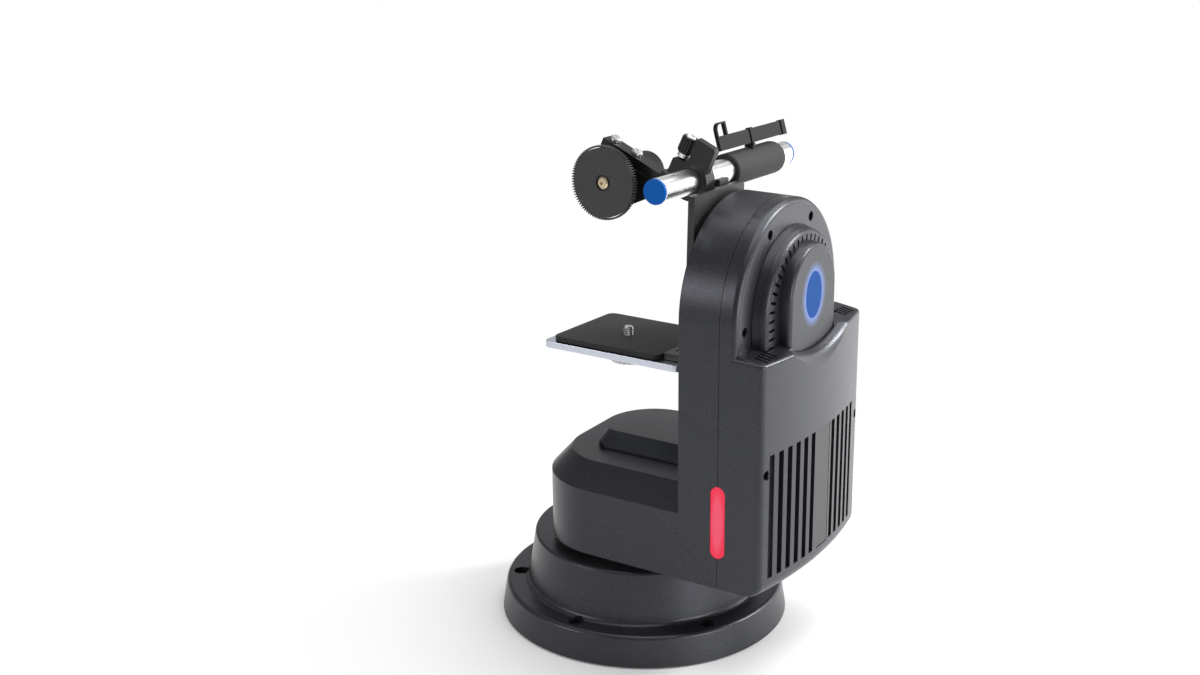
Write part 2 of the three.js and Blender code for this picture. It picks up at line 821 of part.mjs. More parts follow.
function makeHousing() {
  const chamferSlope = footChamfer / (footTop - footEdge);
  const right = armInner + shellWall;
  const footSolid = loft([
    { outline: footInset(0, right), height: footBottom },
    { outline: footInset(0, right), height: footEdge },
    { outline: footInset(footChamfer, right), height: footTop },
  ], upwards);
  const innerEdge = footEdge - shellWall / 2;
  const innerTop = footTop - shellWall;
  const innerChamfer = shellWall + (innerTop - innerEdge) * chamferSlope;
  const footRoom = loft([
    { outline: footInset(shellWall, right + overrun), height: footBottom - overrun },
    { outline: footInset(shellWall, right + overrun), height: innerEdge },
    { outline: footInset(innerChamfer, right + overrun), height: innerTop },
  ], upwards);
  const floorSlab = block(right - gap, armParting, -armHalfWidth, armHalfWidth, footBottom - overrun, footBottom + shellWall);
  const armSolid = loft([
    { outline: armOutline(armEdge, footBottom), height: armInner },
    { outline: armOutline(0, footBottom), height: armInner + armEdge },
    { outline: armOutline(0, footBottom), height: armParting - gap / 2 },
  ], sideways);
  const armRoom = prism(shapeOf(armOutline(shellWall, footBottom + shellWall)), right, armOuter, sideways);
  const hubHole = round(tiltHubRadius + gap * 2, armInner - overrun, right + overrun, "x", tiltAxis, middleSteps);
  const hatch = block(-hatchLeft, hatchRight, -hatchHalfWidth, hatchHalfWidth, innerTop - overrun, footTop + overrun);
  const bosses = screwPlaces().map(([y, z]) => (
    round(screwBossRadius, right - shellWall / 2, armParting - gap / 2, "x", [0, y, z], smallSteps)
  ));
  const pilots = screwPlaces().map(([y, z]) => (
    round(screwShankRadius + gap, screwSeat - screwShankLength - gap * 2, armOuter, "x", [0, y, z], smallSteps)
  ));
  const shell = cut(join(footSolid, armSolid), footRoom.subtract(floorSlab), armRoom);
  const front = -armHalfWidth;
  const slot = tallySlot(gap, front - overrun, front + tallyThickness + overrun);
  const housing = cut(join(shell, ...bosses), hubHole, hatch, slot, ...pilots);
  piece(turret, "arm_housing", housing, housingBlack);
  piece(turret, "tally_lens", tallySlot(0, front, front + tallyThickness), tallyRed);

  const plateOutline = shapeOf(footInset(shellWall + gap, armInner + shellWall - gap * 2));
  const plateSolid = prism(plateOutline, turntableTop + gap, turntableTop + gap + footPlateThickness, upwards);
  const plateHole = round(grommetRadius + gap, footBottom - overrun, footTop, "z", centre, middleSteps);
  piece(turret, "foot_base_plate", cut(plateSolid, plateHole), castAluminium);

  const grommetBottom = turntableTop + gap;
  const lipBottom = grommetBottom + footPlateThickness + gap;
  const grommet = turned([
    [grommetBore, grommetBottom], [grommetRadius, grommetBottom], [grommetRadius, lipBottom],
    [grommetRadius + grommetLip, lipBottom], [grommetRadius + grommetLip, lipBottom + grommetHeight],
    [grommetBore, lipBottom + grommetHeight],
  ], "z", centre, coarseSteps);
  piece(turret, "cable_grommet", grommet, rubberBlack);
}

// The raised cover on top of the foot, over the access opening.
function makeHatch() {
  const right = armInner - gap;
  const bottom = footTop + gap;
  const step = footTop + hatchStep;
  const lower = (inset) => footOutline(
    hatchHalfWidthFoot - inset, hatchFootLeft - inset, hatchFootCorner - inset, right - inset,
  );
  const upper = (inset) => footOutline(
    hatchTopHalfWidth - inset, hatchTopLeft - inset, hatchTopCorner - inset, right - inset,
  );
  const outside = loft([
    { outline: lower(0), height: bottom },
    { outline: lower(0), height: step },
    { outline: upper(0), height: hatchTop },
  ], upwards);
  const inside = loft([
    { outline: lower(hatchWall), height: bottom - overrun },
    { outline: lower(hatchWall), height: step - hatchWall / 2 },
    { outline: upper(hatchWall), height: hatchTop - hatchWall },
  ], upwards);
  piece(turret, "foot_top_cover", cut(outside, inside), housingBlack);
}

// The outer cover's plan at one height: side walls and a face that bulges outwards, drawn in by an inset.
function bulgeOutline(inset, drop, start) {
  const half = armHalfWidth - inset;
  const apex = bulgeFace - inset - drop;
  const radius = bulgeRadius - inset;
  const corner = Math.max(bulgeCorner - inset, bulgeCorner / 4);
  const touch = (half - corner) / (1 - corner / radius);
  const faceAt = (y) => apex - radius + Math.sqrt(radius ** 2 - y ** 2);
  const turn = THREE.MathUtils.radToDeg(Math.asin(touch / radius));
  const cornerX = faceAt(touch) - corner * Math.cos(radians(turn));
  const points = [[start, -half], ...arc(cornerX, -half + corner, corner, -90, -turn)];
  for (let i = 1; i < bulgeFaceSteps; i += 1) {
    const y = touch * ((2 * i) / bulgeFaceSteps - 1);
    points.push([faceAt(y), y]);
  }
  points.push(...arc(cornerX, half - corner, corner, turn, 90), [start, half]);
  return points;
}

// The outlines of the raised cover round the tilt axis: a disc and a boss on it, both with straight sides down.
function discOutline(inset, bottom) {
  const half = discHalfWidth - inset;
  return [[-half, bottom], [half, bottom], ...arc(0, discCentre, half, 0, 180, archSteps)];
}
function bossOutline(inset, bottom) {
  const half = bossHalfWidth - inset;
  return [[-half, bottom], [half, bottom], ...arc(0, bossCentre, half, 0, 180, archSteps)];
}
// A quarter round at the end of a lofted form, as [inset, height] pairs.
const rounded = (radius, end) => arc(radius, end - radius, radius, 180, 90);

function makeOuterCover() {
  const start = armParting + gap / 2;
  const upper = loft([
    { outline: armOutline(0, ventTop), height: start },
    ...rounded(armFillet, armOuter).map(([inset, height]) => ({ outline: armOutline(inset, ventTop), height })),
  ], sideways);
  const upperRoom = loft([
    { outline: armOutline(shellWall, ventTop), height: start - overrun },
    ...rounded(armFillet, armOuter - shellWall).map(([inset, height]) => (
      { outline: armOutline(inset + shellWall, ventTop), height }
    )),
  ], sideways);
  const bulgeLayers = arc(0, 0, 1, 0, 90).map(([drop, rise]) => ({
    outline: bulgeOutline(0, bulgeBottomRound * (1 - rise), start),
    height: footBottom + bulgeBottomRound * (1 - drop),
  }));
  bulgeLayers.push(...rounded(bulgeTopRound, bulgeTop).map(([drop, height]) => (
    { outline: bulgeOutline(0, drop, start), height }
  )));
  const bulge = loft(bulgeLayers, upwards);
  const bulgeRoom = loft([
    { outline: bulgeOutline(shellWall, bulgeBottomRound / 2, start - overrun), height: footBottom + shellWall },
    { outline: bulgeOutline(shellWall, 0, start - overrun), height: footBottom + bulgeBottomRound },
    { outline: bulgeOutline(shellWall, 0, start - overrun), height: bulgeTop - shellWall },
  ], upwards);
  const scoop = turned([
    [0, scoopStart],
    ...scoopCurve(),
    [scoopRadius + scoopFlare, bulgeFace + overrun],
    [0, bulgeFace + overrun],
  ], "x", [0, 0, scoopCentre], fineSteps);
  const scoopBack = turned([
    [0, scoopStart - shellWall],
    ...scoopCurve().map(([radius, depth]) => [radius + shellWall, depth - shellWall]),
    [scoopRadius + scoopFlare + shellWall, bulgeFace + overrun],
    [0, bulgeFace + overrun],
  ], "x", [0, 0, scoopCentre], middleSteps);
  const window = round(discWindow, screwSeat - overrun, armOuter + overrun, "x", [0, 0, discCentre], middleSteps);
  const discSeat = prism(shapeOf(discOutline(-gap, bulgeTop - weldTolerance)), armOuter, bulgeFace, sideways);
  const bossSeatEnd = bossOutline(bossRound + bossDraft - gap, bossTail - gap);
  const bossSeat = loft([
    { outline: bossOutline(-gap, bossTail - gap), height: armOuter },
    ...rounded(bossRound, bossTop).map(([inset, height]) => (
      { outline: bossOutline(inset + bossDraft - gap, bossTail - gap), height: height + gap }
    )),
    { outline: bossSeatEnd, height: scoopStart + weldTolerance },
  ], sideways);
  const bosses = [];
  const screwHoles = [];
  for (const [y, z] of screwPlaces()) {
    const low = z < bulgeTop;
    const surface = low ? bulgeFaceAt(y) : armOuter;
    bosses.push(round(screwBossRadius, start, surface - shellWall + gap * 2, "x", [0, y, z], smallSteps));
    screwHoles.push(turned([
      [0, start - overrun], [screwShankRadius + screwClearance, start - overrun],
      [screwShankRadius + screwClearance, screwSeat], [screwHeadRadius + screwClearance, screwSeat],
      [screwHeadRadius + screwClearance, bulgeFace + overrun], [0, bulgeFace + overrun],
    ], "x", [0, y, z], smallSteps));
  }
  const front = -armHalfWidth;
  const slot = tallySlot(gap, front - overrun, front + tallyThickness + overrun);
  const shell = join(cut(join(upper, bulge), upperRoom, cut(bulgeRoom, scoopBack)), ...bosses);
  const seats = [scoop, window, discSeat, bossSeat, slot, labelPocket()];
  const cover = cut(shell, ...seats, ...screwHoles, ...vents(), ...ledgeVents());
  piece(turret, "arm_outer_cover", cover, housingBlack);

  screwPlaces().forEach(([y, z], i) => {
    const head = screwSeat + gap;
    const screw = turned([
      [0, screwSeat - screwShankLength], [screwShankRadius, screwSeat - screwShankLength],
      [screwShankRadius, head], [screwHeadRadius, head], [screwHeadRadius, head + screwHeadHeight],
      [0, head + screwHeadHeight],
    ], "x", [0, y, z], smallSteps);
    piece(turret, `cover_screw_${i + 1}`, screw, plainSteel);
  });
  const labelFace = bulgeFace - labelThickness / 2 - gap;
  const strip = roundedRectangle(labelMiddle, (ventBottom + ventTop) / 2, labelWidth, ventTop - ventBottom, labelEdge);
  piece(turret, "label_strip", prism(strip, labelFace - labelThickness / 2, labelFace + labelThickness / 2, sideways), labelGrey);
}

// The scoop's flare, as [radius, depth] pairs that open outwards from its floor.
function scoopCurve() {
  const depth = bulgeFace - scoopStart;
  return arc(0, 0, 1, 0, 90, scoopSteps).map(([left, share]) => (
    [scoopRadius + scoopFlare * (1 - left), scoopStart + depth * share]
  ));
}

// How far out the bulging face is, at a distance from its middle.
function bulgeFaceAt(y) {
  return bulgeFace - bulgeRadius + Math.sqrt(bulgeRadius ** 2 - y ** 2);
}

// The tall slots in the bulging face.
function vents() {
  const half = ventWidth / 2;
  const slot = (y, floor) => block(floor, bulgeFace + overrun, y - half, y + half, ventBottom, ventTop);
  const slots = ventPlaces.map((y) => slot(y, armOuter));
  slots.push(slot(blindVentPlace, bulgeFaceAt(blindVentPlace) - blindVentDepth));
  return slots;
}

// The short slots in the ledge on both sides of the raised cover.
function ledgeVents() {
  const slots = [];
  for (const side of [-1, 1]) {
    for (let i = 0; i < ledgeVentCount; i += 1) {
      const y = side * (ledgeVentFirst + ledgeVentPitch * i);
      const half = ledgeVentWidth / 2;
      slots.push(block(ledgeVentStart, ledgeVentEnd, y - half, y + half, bulgeTop - shellWall - overrun, bulgeTop + overrun));
    }
  }
  return slots;
}

function labelPocket() {
  const height = ventTop - ventBottom + gap * 2;
  const shape = roundedRectangle(labelMiddle, (ventBottom + ventTop) / 2, labelWidth + gap * 2, height, labelEdge + gap);
  return prism(shape, bulgeFace - labelThickness - gap * 2, bulgeFace + overrun, sideways);
}

// The cover round the tilt axis, with its ring of slots and the lamp.
function makeTiltCover() {
  const back = armOuter + gap;
  const discBottom = bulgeTop + gap;
  const disc = loft([
    { outline: discOutline(0, discBottom), height: back },
    ...rounded(discRound, discTop).map(([inset, height]) => (
      { outline: discOutline(inset + discDraft, discBottom), height }
    )),
  ], sideways);
  const boss = loft([
    { outline: bossOutline(0, bossTail), height: discTop - discRound },
    ...rounded(bossRound, bossTop).map(([inset, height]) => (
      { outline: bossOutline(inset + bossDraft, bossTail), height }
    )),
  ], sideways);
  const discRoom = prism(
    shapeOf(discOutline(shellWall + discRound, discBottom + shellWall)), back - overrun, discTop - shellWall, sideways,
  );
  const bossRoom = prism(
    shapeOf(bossOutline(shellWall, bossTail + shellWall)), back, bossTop - shellWall, sideways,
  );
  const lamp = lampPrism(gap, bossTop - shellWall - overrun, bossTop + overrun);
  const cover = cut(join(cut(disc, ...discVents()), boss), discRoom, bossRoom, lamp);
  piece(turret, "tilt_cover", cover, housingBlack);

  const flangeFace = bossTop - shellWall - gap;
  const flange = lampPrism(lampFlange, flangeFace - lampFlangeThickness, flangeFace);
  const lens = lampPrism(0, flangeFace - lampFlangeThickness, bossTop);
  piece(turret, "status_lens", join(lens, flange), lampBlue);
}

function lampPrism(grow, from, to) {
  const shape = new THREE.Shape();
  shape.absellipse(0, lampCentre, lampWidth / 2 + grow, lampHeight / 2 + grow, 0, Math.PI * 2);
  return prism(shape, from, to, sideways, coarseSteps);
}

// Slots across the disc's rounded shoulder: rays round the top, and level ones down both sides.
function discVents() {
  const slots = [];
  const bar = () => new THREE.BoxGeometry(discVentDepth * 2, discVentLength, discVentWidth);
  const count = Math.round(180 / discVentPitch);
  for (let i = 0; i <= count; i += 1) {
    const angle = radians((180 / count) * i);
    const slot = bar().translate(discTop, discVentMiddle, 0).rotateX(angle);
    slots.push(solid(slot.translate(0, 0, discCentre)));
  }
  const drop = discVentMiddle * radians(discVentPitch);
  for (let i = 1; i <= discVentStraight; i += 1) {
    if (discCentre - drop * i < bulgeTop) continue;
    for (const side of [-1, 1]) {
      slots.push(solid(bar().translate(discTop, discVentMiddle * side, discCentre - drop * i)));
    }
  }
  return slots;
}

// Inside the arm: the frame, the tilt drive and the electronics.
function makeArmInside() {
  const floor = turntableTop + gap + footPlateThickness + gap;
  const face = frameStart + frameThickness;
  const seat = tiltRaceOuterRadius + gap;
  const raceStart = frameStart + tiltRaceInset;
  const raceEnd = raceStart + tiltRaceWidth;
  const boardFace = face + boardStandoff;
  const side = [
    [-frameHalfWidth, floor], [frameHalfWidth, floor],
    ...arc(0, tiltHeight, frameHalfWidth, 0, 180, coarseSteps),
  ];
  const upright = prism(shapeOf(side), frameStart, face, sideways);
  const flange = block(
    armInner - frameFlangeReach, frameStart + gap, -frameHalfWidth, frameHalfWidth, floor, floor + frameThickness,
  );
  const ring = round(seat + tiltSeatWall, frameStart, raceEnd, "x", tiltAxis, middleSteps);
  const bore = turned([
    [0, frameStart - overrun], [seat - tiltSeatLip, frameStart - overrun], [seat - tiltSeatLip, raceStart - gap],
    [seat, raceStart - gap], [seat, raceEnd + overrun], [0, raceEnd + overrun],
  ], "x", tiltAxis, middleSteps);
  const pillars = [];
  for (const y of [-boardHalfWidth + pillarInset, boardHalfWidth - pillarInset]) {
    for (const z of [boardBottom + pillarInset, boardTop - pillarInset]) {
      pillars.push(round(legRadius, frameStart, boardFace - gap, "x", [0, Math.sign(y) * Math.min(Math.abs(y), frameHalfWidth - legRadius), z], smallSteps));
    }
  }
  piece(turret, "arm_frame", cut(join(upright, flange, ring, ...pillars), bore), castAluminium);

  const split = tiltRaceSplit / 2;
  const outerRace = tube(tiltRaceOuterRadius, tiltRaceSplitRadius + split, raceStart, raceEnd, "x", tiltAxis);
  piece(turret, "tilt_bearing_outer", outerRace, plainSteel);

  const gearStart = raceEnd + gap + tiltGearSpacer;
  const gearEnd = gearStart + gearThickness;
  const motorZ = tiltHeight - pitchDistance;
  const plateStart = gearEnd + gap * 4;
  const plateEnd = plateStart + bracketThickness;
  const teeth = prism(shapeOf(gearOutline(gearModule, pinionTeeth, true)), gearStart, gearEnd, sideways);
  const shaft = round(motorShaftRadius, gearStart, plateEnd - gap, "x", centre, smallSteps);
  const pinion = piece(turret, "tilt_pinion", join(teeth, shaft), brassYellow);
  pinion.position.z = motorZ;
  pinion.rotation.x = 0;

  const legs = [
    [-tiltLegSide, motorZ + tiltLegUp], [tiltLegSide, motorZ + tiltLegUp],
    [-tiltLegLowSide, motorZ - tiltLegDown], [tiltLegLowSide, motorZ - tiltLegDown],
  ].map(([y, z]) => round(legRadius, face + gap, plateEnd, "x", [0, y, z], smallSteps));
  const plateHeight = tiltLegUp + tiltLegDown + tiltPlateEdge * 2;
  const plateMiddle = motorZ + (tiltLegUp - tiltLegDown) / 2;
  const outline = roundedRectangle(0, plateMiddle, (tiltLegSide + tiltPlateEdge) * 2, plateHeight, tiltPlateEdge);
  const plate = prism(outline, plateStart, plateEnd, sideways);
  const hole = round(motorShaftRadius + shaftClearance, face, armOuter, "x", [0, 0, motorZ], smallSteps);
  piece(turret, "tilt_motor_bracket", cut(join(plate, ...legs), hole), castAluminium);
  const motorStart = plateEnd + gap;
  const motorEnd = motorStart + tiltMotorLength;
  const motor = turned([
    [0, motorStart], [motorRadius, motorStart], [motorRadius, motorEnd - rimRound / 2],
    [motorRadius - rimRound / 2, motorEnd], [0, motorEnd],
  ], "x", [0, 0, motorZ]);
  piece(turret, "tilt_motor", motor, motorGrey);

  const boardEnd = boardFace + boardThickness;
  piece(turret, "control_board", block(boardFace, boardEnd, -boardHalfWidth, boardHalfWidth, boardBottom, boardTop), boardGreen);
  const sinkStart = boardEnd + gap;
  const sink = [block(sinkStart, sinkStart + sinkBase, -sinkHalfWidth, sinkHalfWidth, sinkBottom, sinkTop)];
  for (let i = 0; i < sinkFins; i += 1) {
    const y = -sinkHalfWidth + ((sinkHalfWidth * 2 - sinkFinThickness) * i) / (sinkFins - 1);
    sink.push(block(sinkStart, sinkStart + sinkDepth, y, y + sinkFinThickness, sinkBottom, sinkTop));
  }
  piece(turret, "driver_heatsink", join(...sink), castAluminium);
  return { raceStart, raceEnd, gearStart, gearEnd };
}

// What turns with the cradle on the tilt axis, in the cradle's own frame.
function makeTiltShaft({ raceStart, raceEnd, gearStart, gearEnd }) {
  const split = tiltRaceSplit / 2;
  const innerRace = tube(tiltRaceSplitRadius - split, tiltShaftRadius + gap, raceStart, raceEnd, "x", centre);
  piece(cradle, "tilt_bearing_inner", innerRace, plainSteel);
  const hubEnd = frameStart - gap;
  const shaftEnd = gearEnd + tiltShaftTail;
  const hub = turned([
    [tiltBoreRadius, tiltHubStart], [tiltHubRadius, tiltHubStart], [tiltHubRadius, hubEnd],
    [tiltShoulderRadius, hubEnd], [tiltShoulderRadius, raceStart - gap], [tiltShaftRadius, raceStart - gap],
    [tiltShaftRadius, shaftEnd], [tiltBoreRadius, shaftEnd],
  ], "x", centre);
  piece(cradle, "tilt_hub", hub, plainSteel);
  const gearBody = prism(shapeOf(gearOutline(gearModule, gearTeeth, false)), gearStart, gearEnd, sideways);
  const spacer = round(tiltGearHub, raceEnd + gap, gearStart + gap, "x", centre, middleSteps);
  const bore = round(tiltShaftRadius + gap, raceStart, shaftEnd, "x", centre, middleSteps);
  const gear = piece(cradle, "tilt_gear", cut(join(gearBody, spacer), bore), plainSteel);
  gear.rotation.x = -radians(cradlePitch);
}

// The L-shaped camera bracket, its plate and pad, and the screws that join them.
function makeBracket() {
  const uprightEnd = uprightStart + uprightThickness;
  const plateTop = plateBottom + plateThickness;
  const flangeBottom = plateTop + gap;
  const flangeTopFace = flangeBottom + uprightFlangeThickness;
  const flangeStart = uprightStart - uprightFlangeWidth;
  const uprightShape = roundedRectangle(
    (uprightFront + uprightBack) / 2, (plateBottom + uprightTop) / 2,
    uprightBack - uprightFront, uprightTop - plateBottom, uprightCorner,
  );
  const sheet = prism(uprightShape, uprightStart, uprightEnd, sideways);
  const screwX = flangeStart + plateScrewFromEdge;
  const shankHole = (y) => round(plateScrewRadius + gap, plateBottom - overrun, flangeTopFace + overrun, "z", [screwX, y, 0], smallSteps);
  const flangeShape = block(
    flangeStart, uprightStart + gap, uprightFront + uprightCorner, uprightBack - uprightCorner,
    flangeBottom, flangeTopFace,
  );
  const holes = plateScrewPlaces.map(shankHole);
  const ringRoom = round(scallopRadius, scallopFront, scallopBack, "y", [rodPlace, 0, rodHeight], middleSteps);
  const planed = prism(planedEdge(), uprightFront - overrun, uprightBack + overrun, rearwards);
  piece(cradle, "upright_plate", cut(join(sheet, flangeShape), ringRoom, planed, ...holes), anodisedBlack);

  const cameraHole = round(
    cameraHoleRadius, plateBottom - overrun, plateTop + overrun * 2, "z", [0, cameraScrewPlace, 0],
  );
  const plateRight = uprightStart - gap;
  const plateShape = roundedRectangle(
    (plateLeft + plateRight) / 2, (cradleFront + plateBack) / 2, plateRight - plateLeft, plateBack - cradleFront, plateCorner,
  );
  const headSinks = plateScrewPlaces.map((y) => round(
    plateScrewHead + gap, plateBottom - overrun, plateBottom + plateScrewHeadHeight, "z", [screwX, y, 0], smallSteps,
  ));
  const cameraPlate = cut(prism(plateShape, plateBottom, plateTop, upwards), cameraHole, ...holes, ...headSinks);
  piece(cradle, "camera_plate", cameraPlate, brushedAluminium);
  plateScrewPlaces.forEach((y, i) => {
    const under = plateBottom + plateScrewHeadHeight - gap;
    const screw = turned([
      [0, plateBottom], [plateScrewHead, plateBottom], [plateScrewHead, under],
      [plateScrewRadius, under], [plateScrewRadius, flangeTopFace - gap], [0, flangeTopFace - gap],
    ], "z", [screwX, y, 0], smallSteps);
    piece(cradle, `plate_screw_${i + 1}`, screw, plainSteel);
  });

  const padRight = flangeStart - gap * 2;
  const padFront = cradleFront + padInset;
  const padBack = plateBack - padInset;
  const padShape = roundedRectangle(
    (padLeft + padRight) / 2, (padFront + padBack) / 2, padRight - padLeft, padBack - padFront, plateCorner,
  );
  const padBottom = plateTop + gap;
  const pad = cut(prism(padShape, padBottom, padBottom + padThickness, upwards), cameraHole);
  piece(cradle, "plate_pad", pad, rubberBlack);
}

// The captive screw that holds the camera, with its ribbed knob under the plate.
// The wedge off the upright plate's inner top edge, where the clamp's ring turns past it.
function planedEdge() {
  const across = uprightStart - rodPlace;
  const up = uprightTop - rodHeight;
  const away = (clampRadius + clampRoom) * Math.hypot(across, up);
  const heightAt = (x) => rodHeight + (away - (x - rodPlace) * across) / up;
  const placeAt = (z) => rodPlace + (away - (z - rodHeight) * up) / across;
  const left = uprightStart - overrun;
  const top = uprightTop + overrun;
  return shapeOf([[heightAt(left), left], [top, left], [top, placeAt(top)]]);
}

function makeCameraScrew() {
  const knobTop = plateBottom - gap;
  const threadTop = plateBottom + plateThickness + gap + padThickness + cameraThreadReach;
  const knob = prism(shapeOf(ribbedOutline(cameraKnobRadius, cameraKnobRibs)), knobTop - cameraKnobHeight, knobTop, upwards);
  const thread = round(cameraThreadRadius, knobTop - gap, threadTop, "z", centre, smallSteps);
  const screw = piece(cradle, "camera_screw", join(knob, thread), plainSteel);
  screw.position.y = cameraScrewPlace;
}

// A group whose X runs down along the clamp's slope and whose origin is on the rod's axis.
function slopedGroup() {
  const group = new THREE.Group();
  group.position.set(rodPlace, 0, rodHeight);
  group.rotation.y = radians(clampTilt);
  cradle.add(group);
  return group;
}

// The clamp on the rod: a split ring with a block, an ear for the knob and a lug that carries the arm.
function makeClamp() {
  const group = slopedGroup();
  const ring = round(clampRadius, clampFront, clampBack, "y", centre, middleSteps);
  const ear = bevelled(clampEarLeft, 0, clampFront, clampBack, clampSlitTop, clampEarTop, false);
  const slitBottom = clampSlitTop - clampSlit;
  const lug = block(clampLugLeft, 0, clampFront, clampBack, clampLugBottom, slitBottom);
  const head = bevelled(clampBlockLeft, clampBlockRight, clampFront, clampBlockBack, 0, clampBlockTop, true);
  const bore = round(rodRadius + gap, clampFront - overrun, clampBack + overrun, "y", centre, middleSteps);
  const slit = block(clampLugLeft - overrun, 0, clampFront - overrun, clampBack + overrun, slitBottom, clampSlitTop);
  const studEnd = clampEarTop + gap - knobStudLength;
  const studHole = round(
    knobStudRadius + gap, studEnd - gap, clampEarTop + overrun, "z", [knobPlace, clampMiddle, 0], smallSteps,
  );
  const pocket = armTongue(gap);
  piece(group, "rod_clamp", cut(join(ring, ear, lug, head), bore, slit, studHole, pocket), anodisedBlack);
}

// A block with one of its upper edges bevelled off: the right one or the left one.
function bevelled(x0, x1, y0, y1, z0, z1, right) {
  const top = right
    ? [[z1 - clampBevel, x1], [z1, x1 - clampBevel], [z1, x0]]
    : [[z1, x1], [z1, x0 + clampBevel], [z1 - clampBevel, x0]];
  const outline = right ? [[z0, x0], [z0, x1], ...top] : [[z0, x0], [z0, x1], ...top];
  return prism(shapeOf(outline), y0, y1, rearwards);
}

// The bar's tongue, which sits in a pocket of the clamp's lug.
function armTongue(grow) {
  const low = armBarTop - armBarThickness + tongueShy - grow;
  const front = clampFront + tongueShy - grow;
  const back = clampFront + armBarDepth - tongueShy + grow;
  return block(
    clampLugLeft - gap * 2, clampLugLeft + tongueLength + grow, front, back, low, armBarTop - tongueShy + grow,
  );
}

// The thumb knob that closes the clamp.
function makeClampKnob() {
  const group = slopedGroup();
  const start = clampEarTop + gap;
  const ribsStart = start + knobNeckHeight;
  const ribsEnd = ribsStart + knobHeight;
  const knob = prism(shapeOf(ribbedOutline(knobRadius, knobRibs)), ribsStart, ribsEnd, upwards);
  const neck = round(knobNeckRadius, start, ribsStart + gap, "z", centre, smallSteps);
  const stud = round(knobStudRadius, start - knobStudLength, start + gap, "z", centre, smallSteps);
  const cap = round(knobCapRadius, ribsStart, ribsEnd + knobCapHeight, "z", centre, smallSteps);
  const mesh = piece(group, "clamp_knob", join(knob, neck, stud, cap), anodisedBlack);
  mesh.position.set(knobPlace, clampMiddle, 0);
}

// The saddle that holds the rod to the upright plate: it wraps the rod from below.
function makeRodMount() {
  const right = uprightStart - gap;
  const outline = shapeOf([
    [mountBottom, mountLeft], [mountBottom, right], [mountTopRight, right], [mountTopLeft, mountLeft],
  ]);
  const bore = round(rodRadius + gap, mountFront - overrun, mountBack + overrun, "y", [rodPlace, 0, rodHeight], middleSteps);
  piece(cradle, "rod_mount", cut(prism(outline, mountFront, mountBack, rearwards), bore), anodisedBlack);
}

function makeRod() {
  const middle = [rodPlace, 0, rodHeight];
  piece(cradle, "rod", tube(rodRadius, rodBore, rodFront, rodBack, "y", middle), chromedSteel);
  const cap = (end, out) => turned([
    [0, end + out * (gap + capThickness)], [rodRadius, end + out * (gap + capThickness)], [rodRadius, end + out * gap],
    [capPlugRadius, end + out * gap], [capPlugRadius, end - out * capPlugLength], [0, end - out * capPlugLength],
  ], "y", middle);
  piece(cradle, "rod_cap_front", cap(rodFront, -1), capBlue);
  piece(cradle, "rod_cap_back", cap(rodBack, 1), capBlue);
  const bore = rodRadius + gap;
  const sleeve = turned([
    [bore, sleeveFront], [sleeveRadius, sleeveFront],
    ...arc(sleeveRadius - sleeveRound / 2, sleeveBack - sleeveRound, sleeveRound / 2, 0, 90),
    [bore, sleeveBack],
  ], "y", middle);
  piece(cradle, "rod_sleeve", sleeve, rubberBlack);
  makeClip(middle);
}

// The moulded strip that leans above the sleeve, with its saddle and its hook for the drive's lead.
function makeClip(middle) {
  const half = clipHalfWidth;
  const [low, high] = [-clipHeight / 2, clipHeight / 2];
  const bar = block(-half, half, clipFront, clipBack - clipEndPlate, low, high);
  const grooves = clipGrooves.map((y) => cut(
    block(-half - overrun, half + overrun, y, y + clipGrooveWidth, low - overrun, high + overrun),
    block(
      clipGrooveDepth - half, half - clipGrooveDepth, y, y + clipGrooveWidth,
      low + clipGrooveDepth, high - clipGrooveDepth,
    ),
  ));
  const rim = clipFlangeRise / 2;
  const flange = block(-half - rim, half + rim, clipFlangeFront, clipFlangeBack, low, high + clipFlangeRise);
  const endPlate = block(-half - rim, half + rim, clipBack - clipEndPlate, clipBack, low - rim, high + rim);
  const [foot, roof] = [high - gap, high + hookRise];
  const hookEnd = clipFront + hookWidth;
  const outer = [
    [clipFront, foot], [hookEnd, foot], [hookEnd, roof],
    ...arc(clipFront + hookRound, roof - hookRound, hookRound, 90, 180),
  ];
  const inner = [
    [clipFront + hookThin, high], [hookEnd - hookThick, high], [hookEnd - hookThick, roof - hookThin],
    ...arc(clipFront + hookRound, roof - hookRound, hookRound - hookThin, 90, 180),
  ];
  const hook = cut(
    prism(shapeOf(outer), -half, half, sideways), prism(shapeOf(inner), -half - overrun, half + overrun, sideways),
  );
  const strip = join(cut(bar, ...grooves), flange, endPlate, hook);
  const leaning = strip.rotate([0, -clipLean, 0]).translate([clipPlace, 0, clipMiddle]);
  const saddleTop = clipMiddle + low + gap;
  const saddle = block(
    clipPlace - saddleHalfWidth, clipPlace + saddleHalfWidth, clipFlangeFront, clipFlangeBack,
    saddleTop - saddleDepth, saddleTop,
  );
  const sleeveRoom = round(sleeveRadius + gap, sleeveFront, sleeveBack, "y", middle, middleSteps);
  piece(cradle, "lead_clip", cut(join(leaning, saddle), sleeveRoom), mouldedBlack);
}

